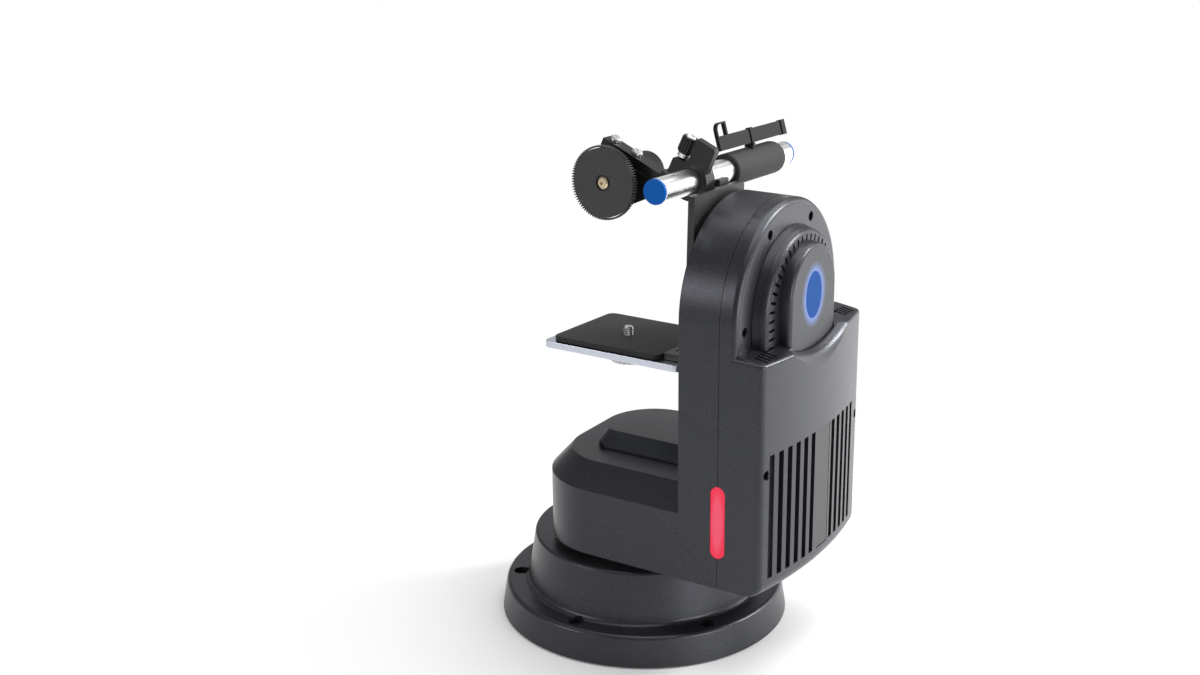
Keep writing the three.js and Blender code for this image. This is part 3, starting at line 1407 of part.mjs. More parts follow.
// The arm on the clamp: a bar with the plate and motor below it, and its two screws.
function makeFocusArm() {
  const group = slopedGroup();
  const barBottom = armBarTop - armBarThickness;
  const barBack = clampFront + armBarDepth;
  const bar = block(armBarLeft, clampLugLeft - gap, clampFront, barBack, barBottom, armBarTop);
  const screwAt = (place) => [place, (clampFront + barBack) / 2, 0];
  const screwHoles = barScrewPlaces.map((place) => round(
    barScrewShank + gap, armBarTop - barScrewDepth - gap, armBarTop + overrun, "z", screwAt(place), smallSteps,
  ));
  piece(group, "focus_arm", cut(join(bar, armTongue(0)), ...screwHoles), anodisedBlack);
  barScrewPlaces.forEach((place, i) => {
    const seat = armBarTop + gap;
    const screw = turned([
      [0, armBarTop - barScrewDepth], [barScrewShank, armBarTop - barScrewDepth], [barScrewShank, seat],
      [barScrewRadius, seat], [barScrewRadius, seat + barScrewHeight / 2],
      [barScrewRadius * barScrewCrownShare, seat + barScrewHeight], [0, seat + barScrewHeight],
    ], "z", screwAt(place), coarseSteps);
    piece(group, `arm_screw_${i + 1}`, screw, chromedSteel);
  });

  const gearX = rodPlace + focusGearPlace;
  const gearZ = rodHeight + focusGearDrop;
  const turn = new THREE.Matrix4().makeRotationY(radians(clampTilt)).setPosition(rodPlace, 0, rodHeight);
  const cornerAt = (x, z) => {
    const point = new THREE.Vector3(x, 0, z).applyMatrix4(turn);
    return [point.z, point.x];
  };
  const underBar = barBottom - gap;
  const web = shapeOf([
    cornerAt(armBarLeft, underBar), cornerAt(focusPlateRight, underBar),
    [gearZ - focusPlateReach / 2, gearX + focusPlateSide * 2], [gearZ - focusPlateReach, gearX + focusPlateSide],
    [gearZ - focusPlateReach, gearX - focusPlateSide / 2],
  ]);
  const plateFront = clampFront;
  const plateBack = plateFront + focusPlateThickness;
  const shaftHole = round(focusShaftRadius + gap, plateFront - overrun, plateBack + overrun, "y", [gearX, 0, gearZ], smallSteps);
  piece(cradle, "focus_plate", cut(prism(web, plateFront, plateBack, rearwards), shaftHole), anodisedBlack);
  const motorFront = plateBack + gap;
  const motor = turned([
    [0, motorFront], [focusMotorRadius, motorFront], [focusMotorRadius, motorFront + focusMotorLength - rimRound / 2],
    [focusMotorRadius - rimRound / 2, motorFront + focusMotorLength], [0, motorFront + focusMotorLength],
  ], "y", [gearX, 0, gearZ]);
  piece(cradle, "focus_motor", motor, mouldedBlack);
  makeFocusGear(gearX, gearZ, plateBack);
}

// The gear that turns the lens ring, with its shaft and the screw in its middle.
function makeFocusGear(gearX, gearZ, shaftEnd) {
  const front = focusGearFront;
  const back = front + focusGearThickness;
  const teeth = prism(shapeOf(gearOutline(focusModule, focusTeeth, false)), front, back, rearwards);
  const hub = round(focusHubRadius, back - gap, clampFront - gap, "y", centre, coarseSteps);
  const shaft = round(focusShaftRadius, back - gap, shaftEnd, "y", centre, smallSteps);
  const recess = round(focusRecessRadius, front - overrun, front + focusRecessDepth, "y", centre, coarseSteps);
  const gear = piece(cradle, "focus_gear", cut(join(teeth, hub, shaft), recess), mouldedBlack);
  gear.position.set(gearX, 0, gearZ);
  const screwBack = front + focusRecessDepth - gap;
  const screw = turned([
    [0, screwBack - focusScrewHeight], [focusScrewRadius, screwBack - focusScrewHeight],
    [focusScrewRadius, screwBack], [0, screwBack],
  ], "y", centre, coarseSteps);
  const mesh = piece(cradle, "focus_gear_screw", screw, brassYellow);
  mesh.position.set(gearX, 0, gearZ);
}

makeBase();
makePanDrive();
makeHousing();
makeHatch();
makeOuterCover();
makeTiltCover();
makeTiltShaft(makeArmInside());
makeBracket();
makeCameraScrew();
makeRodMount();
makeRod();
makeClamp();
makeClampKnob();
makeFocusArm();

export default head;
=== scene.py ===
"""Looks of the remote pan tilt head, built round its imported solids.

Lengths are written in millimetres and become metres in each mesh. The frame is the solids' own:
the origin under the middle of the base, Z up, -Y the way the lens looks, the arm on the +X side.
"""
import json
import math

import bmesh
import bpy
from mathutils import Matrix, Vector

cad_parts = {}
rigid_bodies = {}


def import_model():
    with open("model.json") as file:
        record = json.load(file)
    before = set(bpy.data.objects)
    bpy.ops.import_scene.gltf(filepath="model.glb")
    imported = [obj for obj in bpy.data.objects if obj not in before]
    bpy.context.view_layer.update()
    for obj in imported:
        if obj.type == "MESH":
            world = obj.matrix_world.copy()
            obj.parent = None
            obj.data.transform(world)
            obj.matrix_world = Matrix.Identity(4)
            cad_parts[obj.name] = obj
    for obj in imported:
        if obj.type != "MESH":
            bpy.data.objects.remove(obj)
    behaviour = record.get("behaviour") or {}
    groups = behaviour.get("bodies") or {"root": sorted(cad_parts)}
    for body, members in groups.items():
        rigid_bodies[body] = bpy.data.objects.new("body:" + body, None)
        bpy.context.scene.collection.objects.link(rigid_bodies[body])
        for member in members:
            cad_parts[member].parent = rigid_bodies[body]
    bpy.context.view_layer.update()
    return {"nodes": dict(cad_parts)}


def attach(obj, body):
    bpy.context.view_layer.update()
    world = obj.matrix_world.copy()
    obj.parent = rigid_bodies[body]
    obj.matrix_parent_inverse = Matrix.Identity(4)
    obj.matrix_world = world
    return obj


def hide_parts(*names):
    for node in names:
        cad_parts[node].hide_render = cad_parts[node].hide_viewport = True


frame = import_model()

MM = 0.001
GAP = 0.3  # clearance round a piece that sits in a shell
WALL = 3  # thickness of the shells
FINE, MIDDLE, SMALL, COARSE = 192, 96, 48, 32  # steps round a turned piece
EDGE_ANGLE = math.radians(32)  # edges sharper than this are rounded and stay sharp in shading

TILT_Z = 219.3  # height of the tilt axis
REST_TILT = -2.5
ROD_X, ROD_Z = 45, 71.3  # the rod's middle, from the tilt axis
CLAMP_LEAN = 24
SHOULDER_Z = 221.2  # middle of the disc on the shoulder and of its slots
BOSS_Z = 229.4  # middle of the raised boss on the disc
LENS_MIDDLE, LENS_HALF = (117, 0, 228.5), (10, 14)
TALLY_MIDDLE, TALLY_SIZE = (89.8, -64.2, 101.3), (9.2, 45.2)
SLOTS_Z, SLOTS_HEIGHT = 108.65, 77.3  # the tall slots and the strip between them
SLOT_RING, SLOT_LENGTH, SLOT_WIDTH, SLOT_DEPTH = 39.0, 6.0, 1.7, 7.0  # the slots on the shoulder


def move(x=0.0, y=0.0, z=0.0):
    return Matrix.Translation((x * MM, y * MM, z * MM))


def swing(degrees, axis):
    return Matrix.Rotation(math.radians(degrees), 4, axis)


CRADLE = move(z=TILT_Z) @ swing(REST_TILT, "X")
CLAMP = CRADLE @ move(ROD_X, 0, ROD_Z) @ swing(CLAMP_LEAN, "Y")


# Meshes

def new_object(name, mesh):
    made = bpy.data.objects.new(name, mesh)
    bpy.context.scene.collection.objects.link(made)
    return made


def rework(mesh, *steps):
    """Runs bmesh steps on a mesh."""
    work = bmesh.new()
    work.from_mesh(mesh)
    for step in steps:
        step(work)
    work.to_mesh(mesh)
    work.free()


def welder(distance):
    return lambda work: bmesh.ops.remove_doubles(work, verts=work.verts, dist=distance)


def face_outwards(work):
    bmesh.ops.recalc_face_normals(work, faces=work.faces)


def join_flat_faces(work):
    bmesh.ops.dissolve_limit(work, angle_limit=math.radians(1), verts=work.verts, edges=work.edges)


def from_faces(name, verts, faces):
    """A mesh from points in millimetres, welded, with its faces turned outwards."""
    mesh = bpy.data.meshes.new(name)
    mesh.from_pydata([Vector(v) * MM for v in verts], [], faces)
    rework(mesh, welder(1e-6), face_outwards)
    return new_object(name, mesh)


# How an outline (a, b) at a height lies in the frame

def up(a, b, h):
    return (a, b, h)


def side(a, b, h):
    return (h, a, b)


def rear(a, b, h):
    return (a, h, b)


def bands(count, rows):
    """Four-sided faces between closed rows of points."""
    faces = []
    for k in range(rows - 1):
        for i in range(count):
            j, low, high = (i + 1) % count, k * count, (k + 1) * count
            faces.append((low + i, low + j, high + j, high + i))
    return faces


def turn(name, profile, axis="z", centre=(0, 0, 0), steps=MIDDLE):
    """A turned piece: its profile is a list of (radius, height)."""
    solid = profile[0][0] == 0 and profile[-1][0] == 0
    rows = list(profile) if solid else list(profile) + [profile[0]]
    verts = []
    for radius, height in rows:
        for i in range(steps):
            angle = 2 * math.pi * i / steps
            a, b = radius * math.cos(angle), radius * math.sin(angle)
            point = {"z": (a, b, height), "x": (height, a, b), "y": (b, height, a)}[axis]
            verts.append([p + c for p, c in zip(point, centre)])
    return from_faces(name, verts, bands(steps, len(rows)))


def loft(name, layers, lie):
    """A skin over (outline, height) layers that have as many points each, with flat ends."""
    count = len(layers[0][0])
    verts = [lie(a, b, height) for outline, height in layers for a, b in outline]
    ends = [tuple(range(count)), tuple(reversed(range(len(verts) - count, len(verts))))]
    return from_faces(name, verts, ends + bands(count, len(layers)))


def skin(name, outline, steps, lie, *fixed):
    """A loft over (inset, height) steps of one outline."""
    return loft(name, [(outline(inset, *fixed), height) for inset, height in steps], lie)


def prism(name, outline, low, high, lie):
    return loft(name, [(outline, low), (outline, high)], lie)


def block(name, x0, x1, y0, y1, z0, z1):
    return prism(name, [(x0, y0), (x1, y0), (x1, y1), (x0, y1)], z0, z1, up)


def rod_of(name, radius, low, high, axis, centre=(0, 0, 0), steps=SMALL):
    return turn(name, [(0, low), (radius, low), (radius, high), (0, high)], axis, centre, steps)


def arc(x, y, radius, start, end, steps=8):
    points = []
    for i in range(steps + 1):
        angle = math.radians(start + (end - start) * i / steps)
        points.append((x + radius * math.cos(angle), y + radius * math.sin(angle)))
    return points


def rounding(radius, end, steps=8):
    """(inset, height) pairs of a quarter round."""
    return arc(radius, end - radius, radius, 180, 90, steps)


def rounded(x, y, width, height, radius, steps=8):
    """A rectangle with round corners, centred on a point."""
    w, h = width / 2 - radius, height / 2 - radius
    points = []
    for i, (across, high) in enumerate(((w, h), (-w, h), (-w, -h), (w, -h))):
        points += arc(x + across, y + high, radius, 90 * i, 90 * (i + 1), steps)
    return points


def arch(half, middle, bottom, steps=72):
    """An upright outline with a half round top."""
    return [(-half, bottom), (half, bottom)] + arc(0, middle, half, 0, 180, steps)


def settle(piece):
    """The piece's modifiers become its mesh."""
    evaluated = piece.evaluated_get(bpy.context.evaluated_depsgraph_get())
    mesh = bpy.data.meshes.new_from_object(evaluated)
    piece.modifiers.clear()
    old, piece.data = piece.data, mesh
    mesh.name = piece.name
    bpy.data.meshes.remove(old)
    return piece


def combine(piece, others, how):
    for other in others:
        step = piece.modifiers.new("combine", "BOOLEAN")
        step.object, step.operation, step.solver = other, how, "EXACT"
        settle(piece)
        bpy.data.objects.remove(other)
    return piece


def carve(piece, *cutters):
    return combine(piece, cutters, "DIFFERENCE")


def weld(piece, *others):
    return combine(piece, others, "UNION")


def merged(name, pieces):
    """Several pieces as one mesh."""
    work = bmesh.new()
    for piece in pieces:
        work.from_mesh(piece.data)
    mesh = bpy.data.meshes.new(name)
    work.to_mesh(mesh)
    work.free()
    for piece in pieces:
        bpy.data.objects.remove(piece)
    return new_object(name, mesh)


def soften(piece, width, segments=2):
    """Rounds the sharp edges by a width in millimetres and evens out the shading."""
    if width:
        edge = piece.modifiers.new("edges", "BEVEL")
        edge.width, edge.segments, edge.limit_method = width * MM, segments, "ANGLE"
        edge.angle_limit, edge.miter_outer, edge.use_clamp_overlap = EDGE_ANGLE, "MITER_ARC", True
        settle(piece)
    piece.data.shade_smooth()
    piece.data.set_sharp_from_angle(angle=EDGE_ANGLE)
    even = piece.modifiers.new("even", "WEIGHTED_NORMAL")
    even.keep_sharp, even.weight = True, 60
    return settle(piece)


def placed(piece, matrix):
    piece.data.transform(matrix)
    return piece


def coat(mesh, look):
    mesh.materials.clear()
    mesh.materials.append(look)


def finish(piece, width, look, body, nodes, at=None, segments=2):
    """Softens a piece, moves it to its place, gives it its look and body, and hides the solids it
    stands in for.
    """
    soften(piece, width, segments)
    if at:
        placed(piece, at)
    coat(piece.data, look)
    for face in piece.data.polygons:
        face.material_index = 0
    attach(piece, body)
    if nodes:
        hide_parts(*nodes)


def from_node(node, width, look, body):
    """A solid's own mesh, welded, with its edges rounded."""
    mesh = frame["nodes"][node].data.copy()
    mesh.name = node + "_dressed"
    rework(mesh, welder(2e-6), join_flat_faces)
    finish(new_object(node + "_dressed", mesh), width, look, body, [node])


# Node trees

def wire(tree, kind, wires=None, **settings):
    """A new node with its settings. A list links several sources to one input."""
    node = tree.nodes.new(kind)
    for key, value in settings.items():
        setattr(node, key, value)
    for key, sources in (wires or {}).items():
        for source in sources if isinstance(sources, list) else [sources]:
            if isinstance(source, bpy.types.Node):
                source = source.outputs[0]
            if isinstance(source, bpy.types.NodeSocket):
                tree.links.new(source, node.inputs[key])
            else:
                node.inputs[key].default_value = source
    return node


class Tree:
    """Geometry nodes with named size inputs, which end in Realize Instances and Set Material."""

    def __init__(self, name, sizes):
        self.tree = bpy.data.node_groups.new(name, "GeometryNodeTree")
        kinds = {int: "Int", float: "Float", tuple: "Vector"}
        self.ids = {}
        for key, value in sizes.items():
            self.ids[key] = self.socket(key, "INPUT", kinds[type(value)])
        self.socket("Finish", "INPUT", "Material")
        self.socket("Geometry", "OUTPUT", "Geometry")
        self.start = self.tree.nodes.new("NodeGroupInput")
        self.sizes = sizes

    def socket(self, key, way, kind):
        made = self.tree.interface.new_socket(key, in_out=way, socket_type="NodeSocket" + kind)
        return made.identifier

    def size(self, key):
        return self.start.outputs[key]

    def add(self, kind, wires=None, **settings):
        return wire(self.tree, "GeometryNode" + kind, wires, **settings)

    def math(self, operation, a, b=0.0):
        return wire(self.tree, "ShaderNodeMath", {0: a, 1: b}, operation=operation).outputs[0]

    def times(self, a, b):
        return self.math("MULTIPLY", a, b)

    def minus(self, a, b):
        return self.math("SUBTRACT", a, b)

    def vector(self, x=0.0, y=0.0, z=0.0):
        return wire(self.tree, "ShaderNodeCombineXYZ", {0: x, 1: y, 2: z}).outputs[0]

    def can(self, sides, radius, depth):
        return self.add("MeshCylinder", {"Vertices": sides, "Radius": radius, "Depth": depth})

    def middle(self, low, high):
        return self.times(self.math("ADD", high, low), 0.5)

    def moved(self, geometry, place=(0.0, 0.0, 0.0), turned=(0.0, 0.0, 0.0)):
        wires = {"Geometry": geometry, "Translation": place, "Rotation": turned}
        return self.add("Transform", wires)

    def union(self, *parts):
        return self.add("MeshBoolean", {"Mesh 2": list(parts)}, operation="UNION", solver="EXACT")

    def spread(self, points, instance, turned=(0.0, 0.0, 0.0)):
        wires = {"Points": points, "Instance": instance, "Rotation": turned}
        return self.add("InstanceOnPoints", wires)

    def at_one_point(self, count):
        return self.add("MeshLine", {"Count": count, "Offset": (0.0, 0.0, 0.0)})

    def steps(self, count, whole):
        """Equal steps of an angle, one for each point."""
        index = self.add("InputIndex")
        return self.times(self.math("DIVIDE", index.outputs[0], count), whole)

    def end(self, last):
        whole = self.add("RealizeInstances", {"Geometry": last})
        coated = self.add("SetMaterial", {"Geometry": whole, "Material": self.size("Finish")})
        out = self.tree.nodes.new("NodeGroupOutput")
        self.tree.links.new(coated.outputs[0], out.inputs[0])
        return self

    def grow(self, name, **sizes):
        """One plain mesh from the tree, in millimetres turned to metres."""
        piece = new_object(name, bpy.data.meshes.new(name))
        made = piece.modifiers.new("grow", "NODES")
        made.node_group = self.tree
        for key, value in {**self.sizes, **sizes}.items():
            made[self.ids[key]] = value
        settle(piece)
        piece.data.transform(Matrix.Scale(MM, 4))
        rework(piece.data, face_outwards)
        return piece


def circle_tree():
    """Upright stepped cylinders on a circle: bolt holes with their counterbores."""
    tree = Tree("bolt holes", {
        "Count": 6, "Circle": 80.6, "First angle": 30.0, "Hole": 2.75, "Head": 5.0, "Seat": 16.6,
        "Bottom": -5.0, "Top": 30.0})
    size, high = tree.size, tree.size("Top")
    cans = []
    for radius, low in (("Hole", "Bottom"), ("Head", "Seat")):
        can = tree.can(32, size(radius), tree.minus(high, size(low)))
        cans.append(tree.moved(can, tree.vector(z=tree.middle(size(low), high))))
    ring = tree.add("MeshCircle", {"Vertices": size("Count"), "Radius": size("Circle")})
    angle = tree.math("RADIANS", size("First angle"))
    return tree.end(tree.moved(tree.spread(ring, tree.union(*cans)), turned=tree.vector(z=angle)))


def row_tree():
    """Equal boxes in a row along Y."""
    tree = Tree("row of slots", {
        "Count": 5, "First": -45.8, "Pitch": 8.675, "Size": (30.0, 4.6, SLOTS_HEIGHT),
        "Middle": (116.0, 0.0, SLOTS_Z)})
    box = tree.add("MeshCube", {"Size": tree.size("Size")})
    line = tree.add("MeshLine", {
        "Count": tree.size("Count"), "Start Location": tree.vector(y=tree.size("First")),
        "Offset": tree.vector(y=tree.size("Pitch"))})
    return tree.end(tree.moved(tree.spread(line, box), tree.size("Middle")))


def fan_tree():
    """Bars that radiate round the tilt axis over half a turn: the slots of the shoulder."""
    tree = Tree("fan of slots", {
        "Count": 24, "Radius": SLOT_RING, "Length": SLOT_LENGTH, "Width": SLOT_WIDTH,
        "Depth": SLOT_DEPTH, "Centre": (110.0, 0.0, SHOULDER_Z)})
    size = tree.size
    bar = tree.add("MeshCube", {"Size": tree.vector(size("Depth"), size("Length"), size("Width"))})
    out = tree.moved(bar, tree.vector(y=size("Radius")))
    angle = tree.steps(tree.minus(size("Count"), 1.0), math.pi)
    spots = tree.spread(tree.at_one_point(size("Count")), out, tree.vector(x=angle))
    return tree.end(tree.moved(spots, size("Centre")))


def ribbed_tree():
    """A round body with ribs along it, about Z."""
    tree = Tree("ribbed knob", {
        "Ribs": 18, "Radius": 11.0, "Rib": 1.2, "Low": 0.0, "High": 9.0, "Inset": 0.8,
        "Shorter": 1.2})
    size = tree.size
    length = tree.minus(size("High"), size("Low"))
    core = tree.can(72, tree.minus(size("Radius"), size("Inset")), length)
    rib = tree.can(12, size("Rib"), tree.minus(length, size("Shorter")))
    circle = tree.minus(size("Radius"), size("Rib"))
    ribs = tree.spread(tree.add("MeshCircle", {"Vertices": size("Ribs"), "Radius": circle}), rib)
    both = tree.add("JoinGeometry", {"Geometry": [core, ribs]})
    return tree.end(tree.moved(both, tree.vector(z=tree.middle(size("Low"), size("High")))))


def gear_tree():
    """A spur gear about Y: a rim with narrowing teeth all round."""
    tree = Tree("spur gear", {
        "Teeth": 86, "Module": 0.5, "Front": -36.1, "Width": 5.1, "Below pitch": 1.15,
        "Tooth": 2.35, "Foot": 1.9, "Crown": 0.72})
    size = tree.size

    def modules(key):
        return tree.times(size("Module"), size(key))

    pitch = tree.times(modules("Teeth"), 0.5)
    root = tree.minus(pitch, modules("Below pitch"))
    half = tree.times(size("Width"), 0.5)
    height = modules("Tooth")
    # a tooth is a cone with four sides, stood on the rim and stretched to the gear's width
    corner = 0.7071
    tooth = tree.add("MeshCone", {
        "Vertices": 4, "Radius Top": tree.times(modules("Crown"), corner),
        "Radius Bottom": tree.times(modules("Foot"), corner), "Depth": height})
    square = tree.moved(tooth, turned=tree.vector(z=math.pi / 4))
    parts = wire(tree.tree, "ShaderNodeSeparateXYZ", {0: tree.add("InputPosition")})
    sign = tree.math("SIGN", parts.outputs[1])
    flat = tree.vector(parts.outputs[0], tree.times(sign, half), parts.outputs[2])
    wide = tree.add("SetPosition", {"Geometry": square, "Position": flat})
    turned = tree.moved(wide, turned=tree.vector(y=math.pi / 2))
    lift = tree.math("ADD", root, tree.times(height, 0.37))
    raised = tree.moved(turned, tree.vector(x=lift))
    angle = tree.steps(size("Teeth"), 2 * math.pi)
    teeth = tree.spread(tree.at_one_point(size("Teeth")), raised, tree.vector(y=angle))
    rim = tree.moved(tree.can(172, root, size("Width")), turned=tree.vector(x=math.pi / 2))
    both = tree.add("JoinGeometry", {"Geometry": [rim, teeth]})
    return tree.end(tree.moved(both, tree.vector(y=tree.math("ADD", size("Front"), half))))


def screw_tree():
    """A cap screw that stands on Z: a rounded head with a six-sided socket."""
    tree = Tree("cap screw", {
        "Head": 3.4, "Height": 2.6, "Socket": 1.6, "Shank": 1.6, "Length": 4.0, "Straight": 0.6,
        "Crown": 0.78, "Bore": 1.4})
    size, times = tree.size, tree.times
    low = times(size("Height"), size("Straight"))
    wall = tree.moved(tree.can(40, size("Head"), low), tree.vector(z=times(low, 0.5)))
    cone = tree.add("MeshCone", {
        "Vertices": 40, "Radius Top": times(size("Head"), size("Crown")),
        "Radius Bottom": size("Head"), "Depth": tree.minus(size("Height"), low)})
    crown = tree.moved(cone, tree.vector(z=low))
    hexagon = tree.can(6, size("Socket"), times(size("Height"), size("Bore")))
    hexagon = tree.moved(hexagon, tree.vector(z=size("Height")))
    shank = tree.can(24, size("Shank"), size("Length"))
    shank = tree.moved(shank, tree.vector(z=times(size("Length"), -0.5)))
    wires = {"Mesh 1": tree.union(wall, crown, shank), "Mesh 2": hexagon}
    return tree.end(tree.add("MeshBoolean", wires, operation="DIFFERENCE", solver="EXACT"))


CIRCLE, ROW, FAN = circle_tree(), row_tree(), fan_tree()
RIBBED, GEAR, SCREW = ribbed_tree(), gear_tree(), screw_tree()


# Finishes

def number(tree, operation, *values):
    return wire(tree, "ShaderNodeMath", dict(enumerate(values)), operation=operation).outputs[0]


def vector(tree, operation, *values):
    node = wire(tree, "ShaderNodeVectorMath", dict(enumerate(values)), operation=operation)
    return node.outputs[1 if operation in ("LENGTH", "DISTANCE", "DOT_PRODUCT") else 0]


def brighter(tree, colour, gain):
    return wire(tree, "ShaderNodeVectorMath", {0: colour, 3: gain}, operation="SCALE").outputs[0]


def span(tree, value, start, end, low=0.0, high=1.0, **settings):
    """A value between start and end becomes one between low and high."""
    wires = {"Value": value, "From Min": start, "From Max": end, "To Min": low, "To Max": high}
    return wire(tree, "ShaderNodeMapRange", wires, **settings).outputs[0]


def mixed(tree, share, a, b):
    """Two colours mixed by a share."""
    return wire(tree, "ShaderNodeMix", {0: share, 6: a, 7: b}, data_type="RGBA").outputs[2]


def object_place(tree):
    return tree.nodes.new("ShaderNodeTexCoord").outputs["Object"]


def noise(tree, place, scale, detail):
    wires = {"Vector": place, "Scale": scale, "Detail": detail}
    return wire(tree, "ShaderNodeTexNoise", wires).outputs[0]


def shader_group(name, inputs, outputs):
    """An empty group: the number of parts of each value tells the kind of its socket."""
    group = bpy.data.node_groups.new(name, "ShaderNodeTree")
    for key, value in inputs.items():
        kind = {3: "Vector", 4: "Color"}[len(value)] if isinstance(value, tuple) else "Float"
        made = group.interface.new_socket(key, in_out="INPUT", socket_type="NodeSocket" + kind)
        made.default_value = value
    kinds = {"Colour": "Color", "Roughness": "Float", "Normal": "Vector"}
    for key in outputs:
        group.interface.new_socket(key, in_out="OUTPUT", socket_type="NodeSocket" + kinds[key])
    given = group.nodes.new("NodeGroupInput").outputs
    return group, given, group.nodes.new("NodeGroupOutput").inputs


def grey(value, tint=(1.0, 1.0, 1.0)):
    return (value * tint[0], value * tint[1], value * tint[2], 1.0)


BLACK, WHITE = grey(0.0), grey(1.0)


def grain_group():
    """Fine speckle and a low bump, as on powder coat, textured mouldings and rubber."""
    group, given, out = shader_group("grain", {
        "Colour": grey(0.03), "Fleck": grey(0.1), "Size": 900.0, "Fleck share": 0.5,
        "Roughness": 0.5, "Spread": 0.1, "Depth": 0.00008}, ("Colour", "Roughness", "Normal"))
    place = object_place(group)
    fine = noise(group, place, given["Size"], 3.0)
    cells = wire(group, "ShaderNodeTexVoronoi", {"Vector": place, "Scale": given["Size"]})
    broad = noise(group, place, 9.0, 4.0)
    fleck = span(group, fine, 0.5, 0.72, 0.0, given["Fleck share"])
    shade = mixed(group, fleck, given["Colour"], given["Fleck"])
    cloud = span(group, broad, 0.3, 0.7, 0.9, 1.08)
    group.links.new(brighter(group, shade, cloud), out["Colour"])
    centred = number(group, "SUBTRACT", broad, 0.5)
    spread = number(group, "MULTIPLY_ADD", centred, given["Spread"], given["Roughness"])
    group.links.new(spread, out["Roughness"])
    height = number(group, "MULTIPLY", cells.outputs[0], fine)
    wires = {"Strength": 1.0, "Distance": given["Depth"], "Height": height}
    group.links.new(wire(group, "ShaderNodeBump", wires).outputs[0], out["Normal"])
    return group


def brushed_group():
    """Fine lines along one direction, as on brushed or turned metal."""
    group, given, out = shader_group("brushed", {
        "Colour": grey(0.6), "Stretch": (20.0, 900.0, 900.0), "Contrast": 0.2, "Roughness": 0.25,
        "Spread": 0.2}, ("Colour", "Roughness", "Normal"))
    pulled = vector(group, "MULTIPLY", object_place(group), given["Stretch"])
    lines = noise(group, pulled, 1.0, 3.0)
    centred = number(group, "SUBTRACT", lines, 0.5)
    gain = number(group, "MULTIPLY_ADD", centred, given["Contrast"], 1.0)
    group.links.new(brighter(group, given["Colour"], gain), out["Colour"])
    rough = number(group, "MULTIPLY_ADD", centred, given["Spread"], given["Roughness"])
    group.links.new(rough, out["Roughness"])
    wires = {"Strength": 0.3, "Distance": 0.00003, "Height": lines}
    group.links.new(wire(group, "ShaderNodeBump", wires).outputs[0], out["Normal"])
    return group


def reach_to_edge(tree, away, half):
    """How far a place is on the way from an oval's middle to its edge: 1 at the edge."""
    return vector(tree, "LENGTH", vector(tree, "MULTIPLY", away, half))


def glow_group():
    """A lit lens: one colour in the middle of an oval, one at its edge, and dark behind its face.

    Per half size is one over the oval's half size in each direction. The light dies away between
    two places on the axis.
    """
    group, given, out = shader_group("glow", {
        "Middle": (0.0, 0.0, 0.0), "Per half size": (1.0, 1.0, 1.0), "Inner": WHITE, "Outer": WHITE,
        "Edge start": 0.6, "Edge end": 1.0, "Axis": (1.0, 0.0, 0.0), "Lit at": 0.0,
        "Dark at": 0.001}, ("Colour", "Roughness"))
    place = object_place(group)
    away = vector(group, "SUBTRACT", place, given["Middle"])
    reach = reach_to_edge(group, away, given["Per half size"])
    edge = span(group, reach, given["Edge start"], given["Edge end"])
    colour = mixed(group, edge, given["Inner"], given["Outer"])
    depth = vector(group, "DOT_PRODUCT", place, given["Axis"])
    behind = span(group, depth, given["Lit at"], given["Dark at"])
    group.links.new(mixed(group, behind, colour, BLACK), out["Colour"])
    rough = span(group, noise(group, place, 260.0, 2.0), 0.0, 1.0, 0.22, 0.4)
    group.links.new(rough, out["Roughness"])
    return group


GRAIN, BRUSHED, GLOW = grain_group(), brushed_group(), glow_group()


def material(name, group, values, plain, colour="Base Color"):
    """A shared group's outputs on a shader, and constants on its other sockets."""
    made = bpy.data.materials.new(name)
    made.use_nodes = True
    tree = made.node_tree
    shader = tree.nodes["Principled BSDF"]
    for key, value in plain.items():
        shader.inputs[key].default_value = value
    for socket in wire(tree, "ShaderNodeGroup", values, node_tree=group).outputs:
        tree.links.new(socket, shader.inputs[colour if socket.name == "Colour" else socket.name])
    return made


def grainy(name, colour, fleck, size, share, roughness, spread, depth, **plain):
    """A speckled finish: size is the speckle's scale, depth that of its bump in millimetres."""
    values = {
        "Colour": colour, "Fleck": fleck, "Size": size, "Fleck share": share,
        "Roughness": roughness, "Spread": spread, "Depth": depth * MM}
    return material(name, GRAIN, values, {key.replace("_", " "): v for key, v in plain.items()})


def metal(name, colour, stretch, contrast, roughness, spread):
    values = {
        "Colour": colour, "Stretch": stretch, "Contrast": contrast, "Roughness": roughness,
        "Spread": spread}
    return material(name, BRUSHED, values, {"Metallic": 1.0})


COOL = (0.9, 0.94, 1.1)
SHEEN = (0.93, 0.95, 1.06, 1.0)
COAT = grey(0.012, COOL)
housing = grainy("charcoal coat", COAT, grey(0.06, COOL), 1500.0, 0.5, 0.32, 0.1, 0.1,
                 Specular_Tint=SHEEN)
cover = grainy("charcoal moulding", COAT, grey(0.055, COOL), 1600.0, 0.5, 0.31, 0.1, 0.08,
               Specular_Tint=SHEEN)
dark_rubber = grainy("black rubber", grey(0.012), grey(0.03), 500.0, 0.3, 0.75, 0.2, 0.05)
sleeve_rubber = grainy("grey sleeve", grey(0.034), grey(0.07), 1600.0, 0.5, 0.72, 0.1, 0.08,
                       Specular_IOR_Level=0.2)
anodised = grainy("black anodised metal", grey(0.012), grey(0.035), 1500.0, 0.4, 0.33, 0.12, 0.03,
                  Metallic=0.35)
dark_plate = grainy("grey anodised plate", grey(0.03), grey(0.06), 1500.0, 0.4, 0.42, 0.1, 0.03,
                    Metallic=0.4)
moulded = grainy("black moulding", grey(0.01), grey(0.025), 1200.0, 0.4, 0.45, 0.12, 0.04,
                 Specular_IOR_Level=0.12)
gear_black = grainy("gear plastic", grey(0.022), grey(0.06), 1500.0, 0.5, 0.55, 0.1, 0.05)
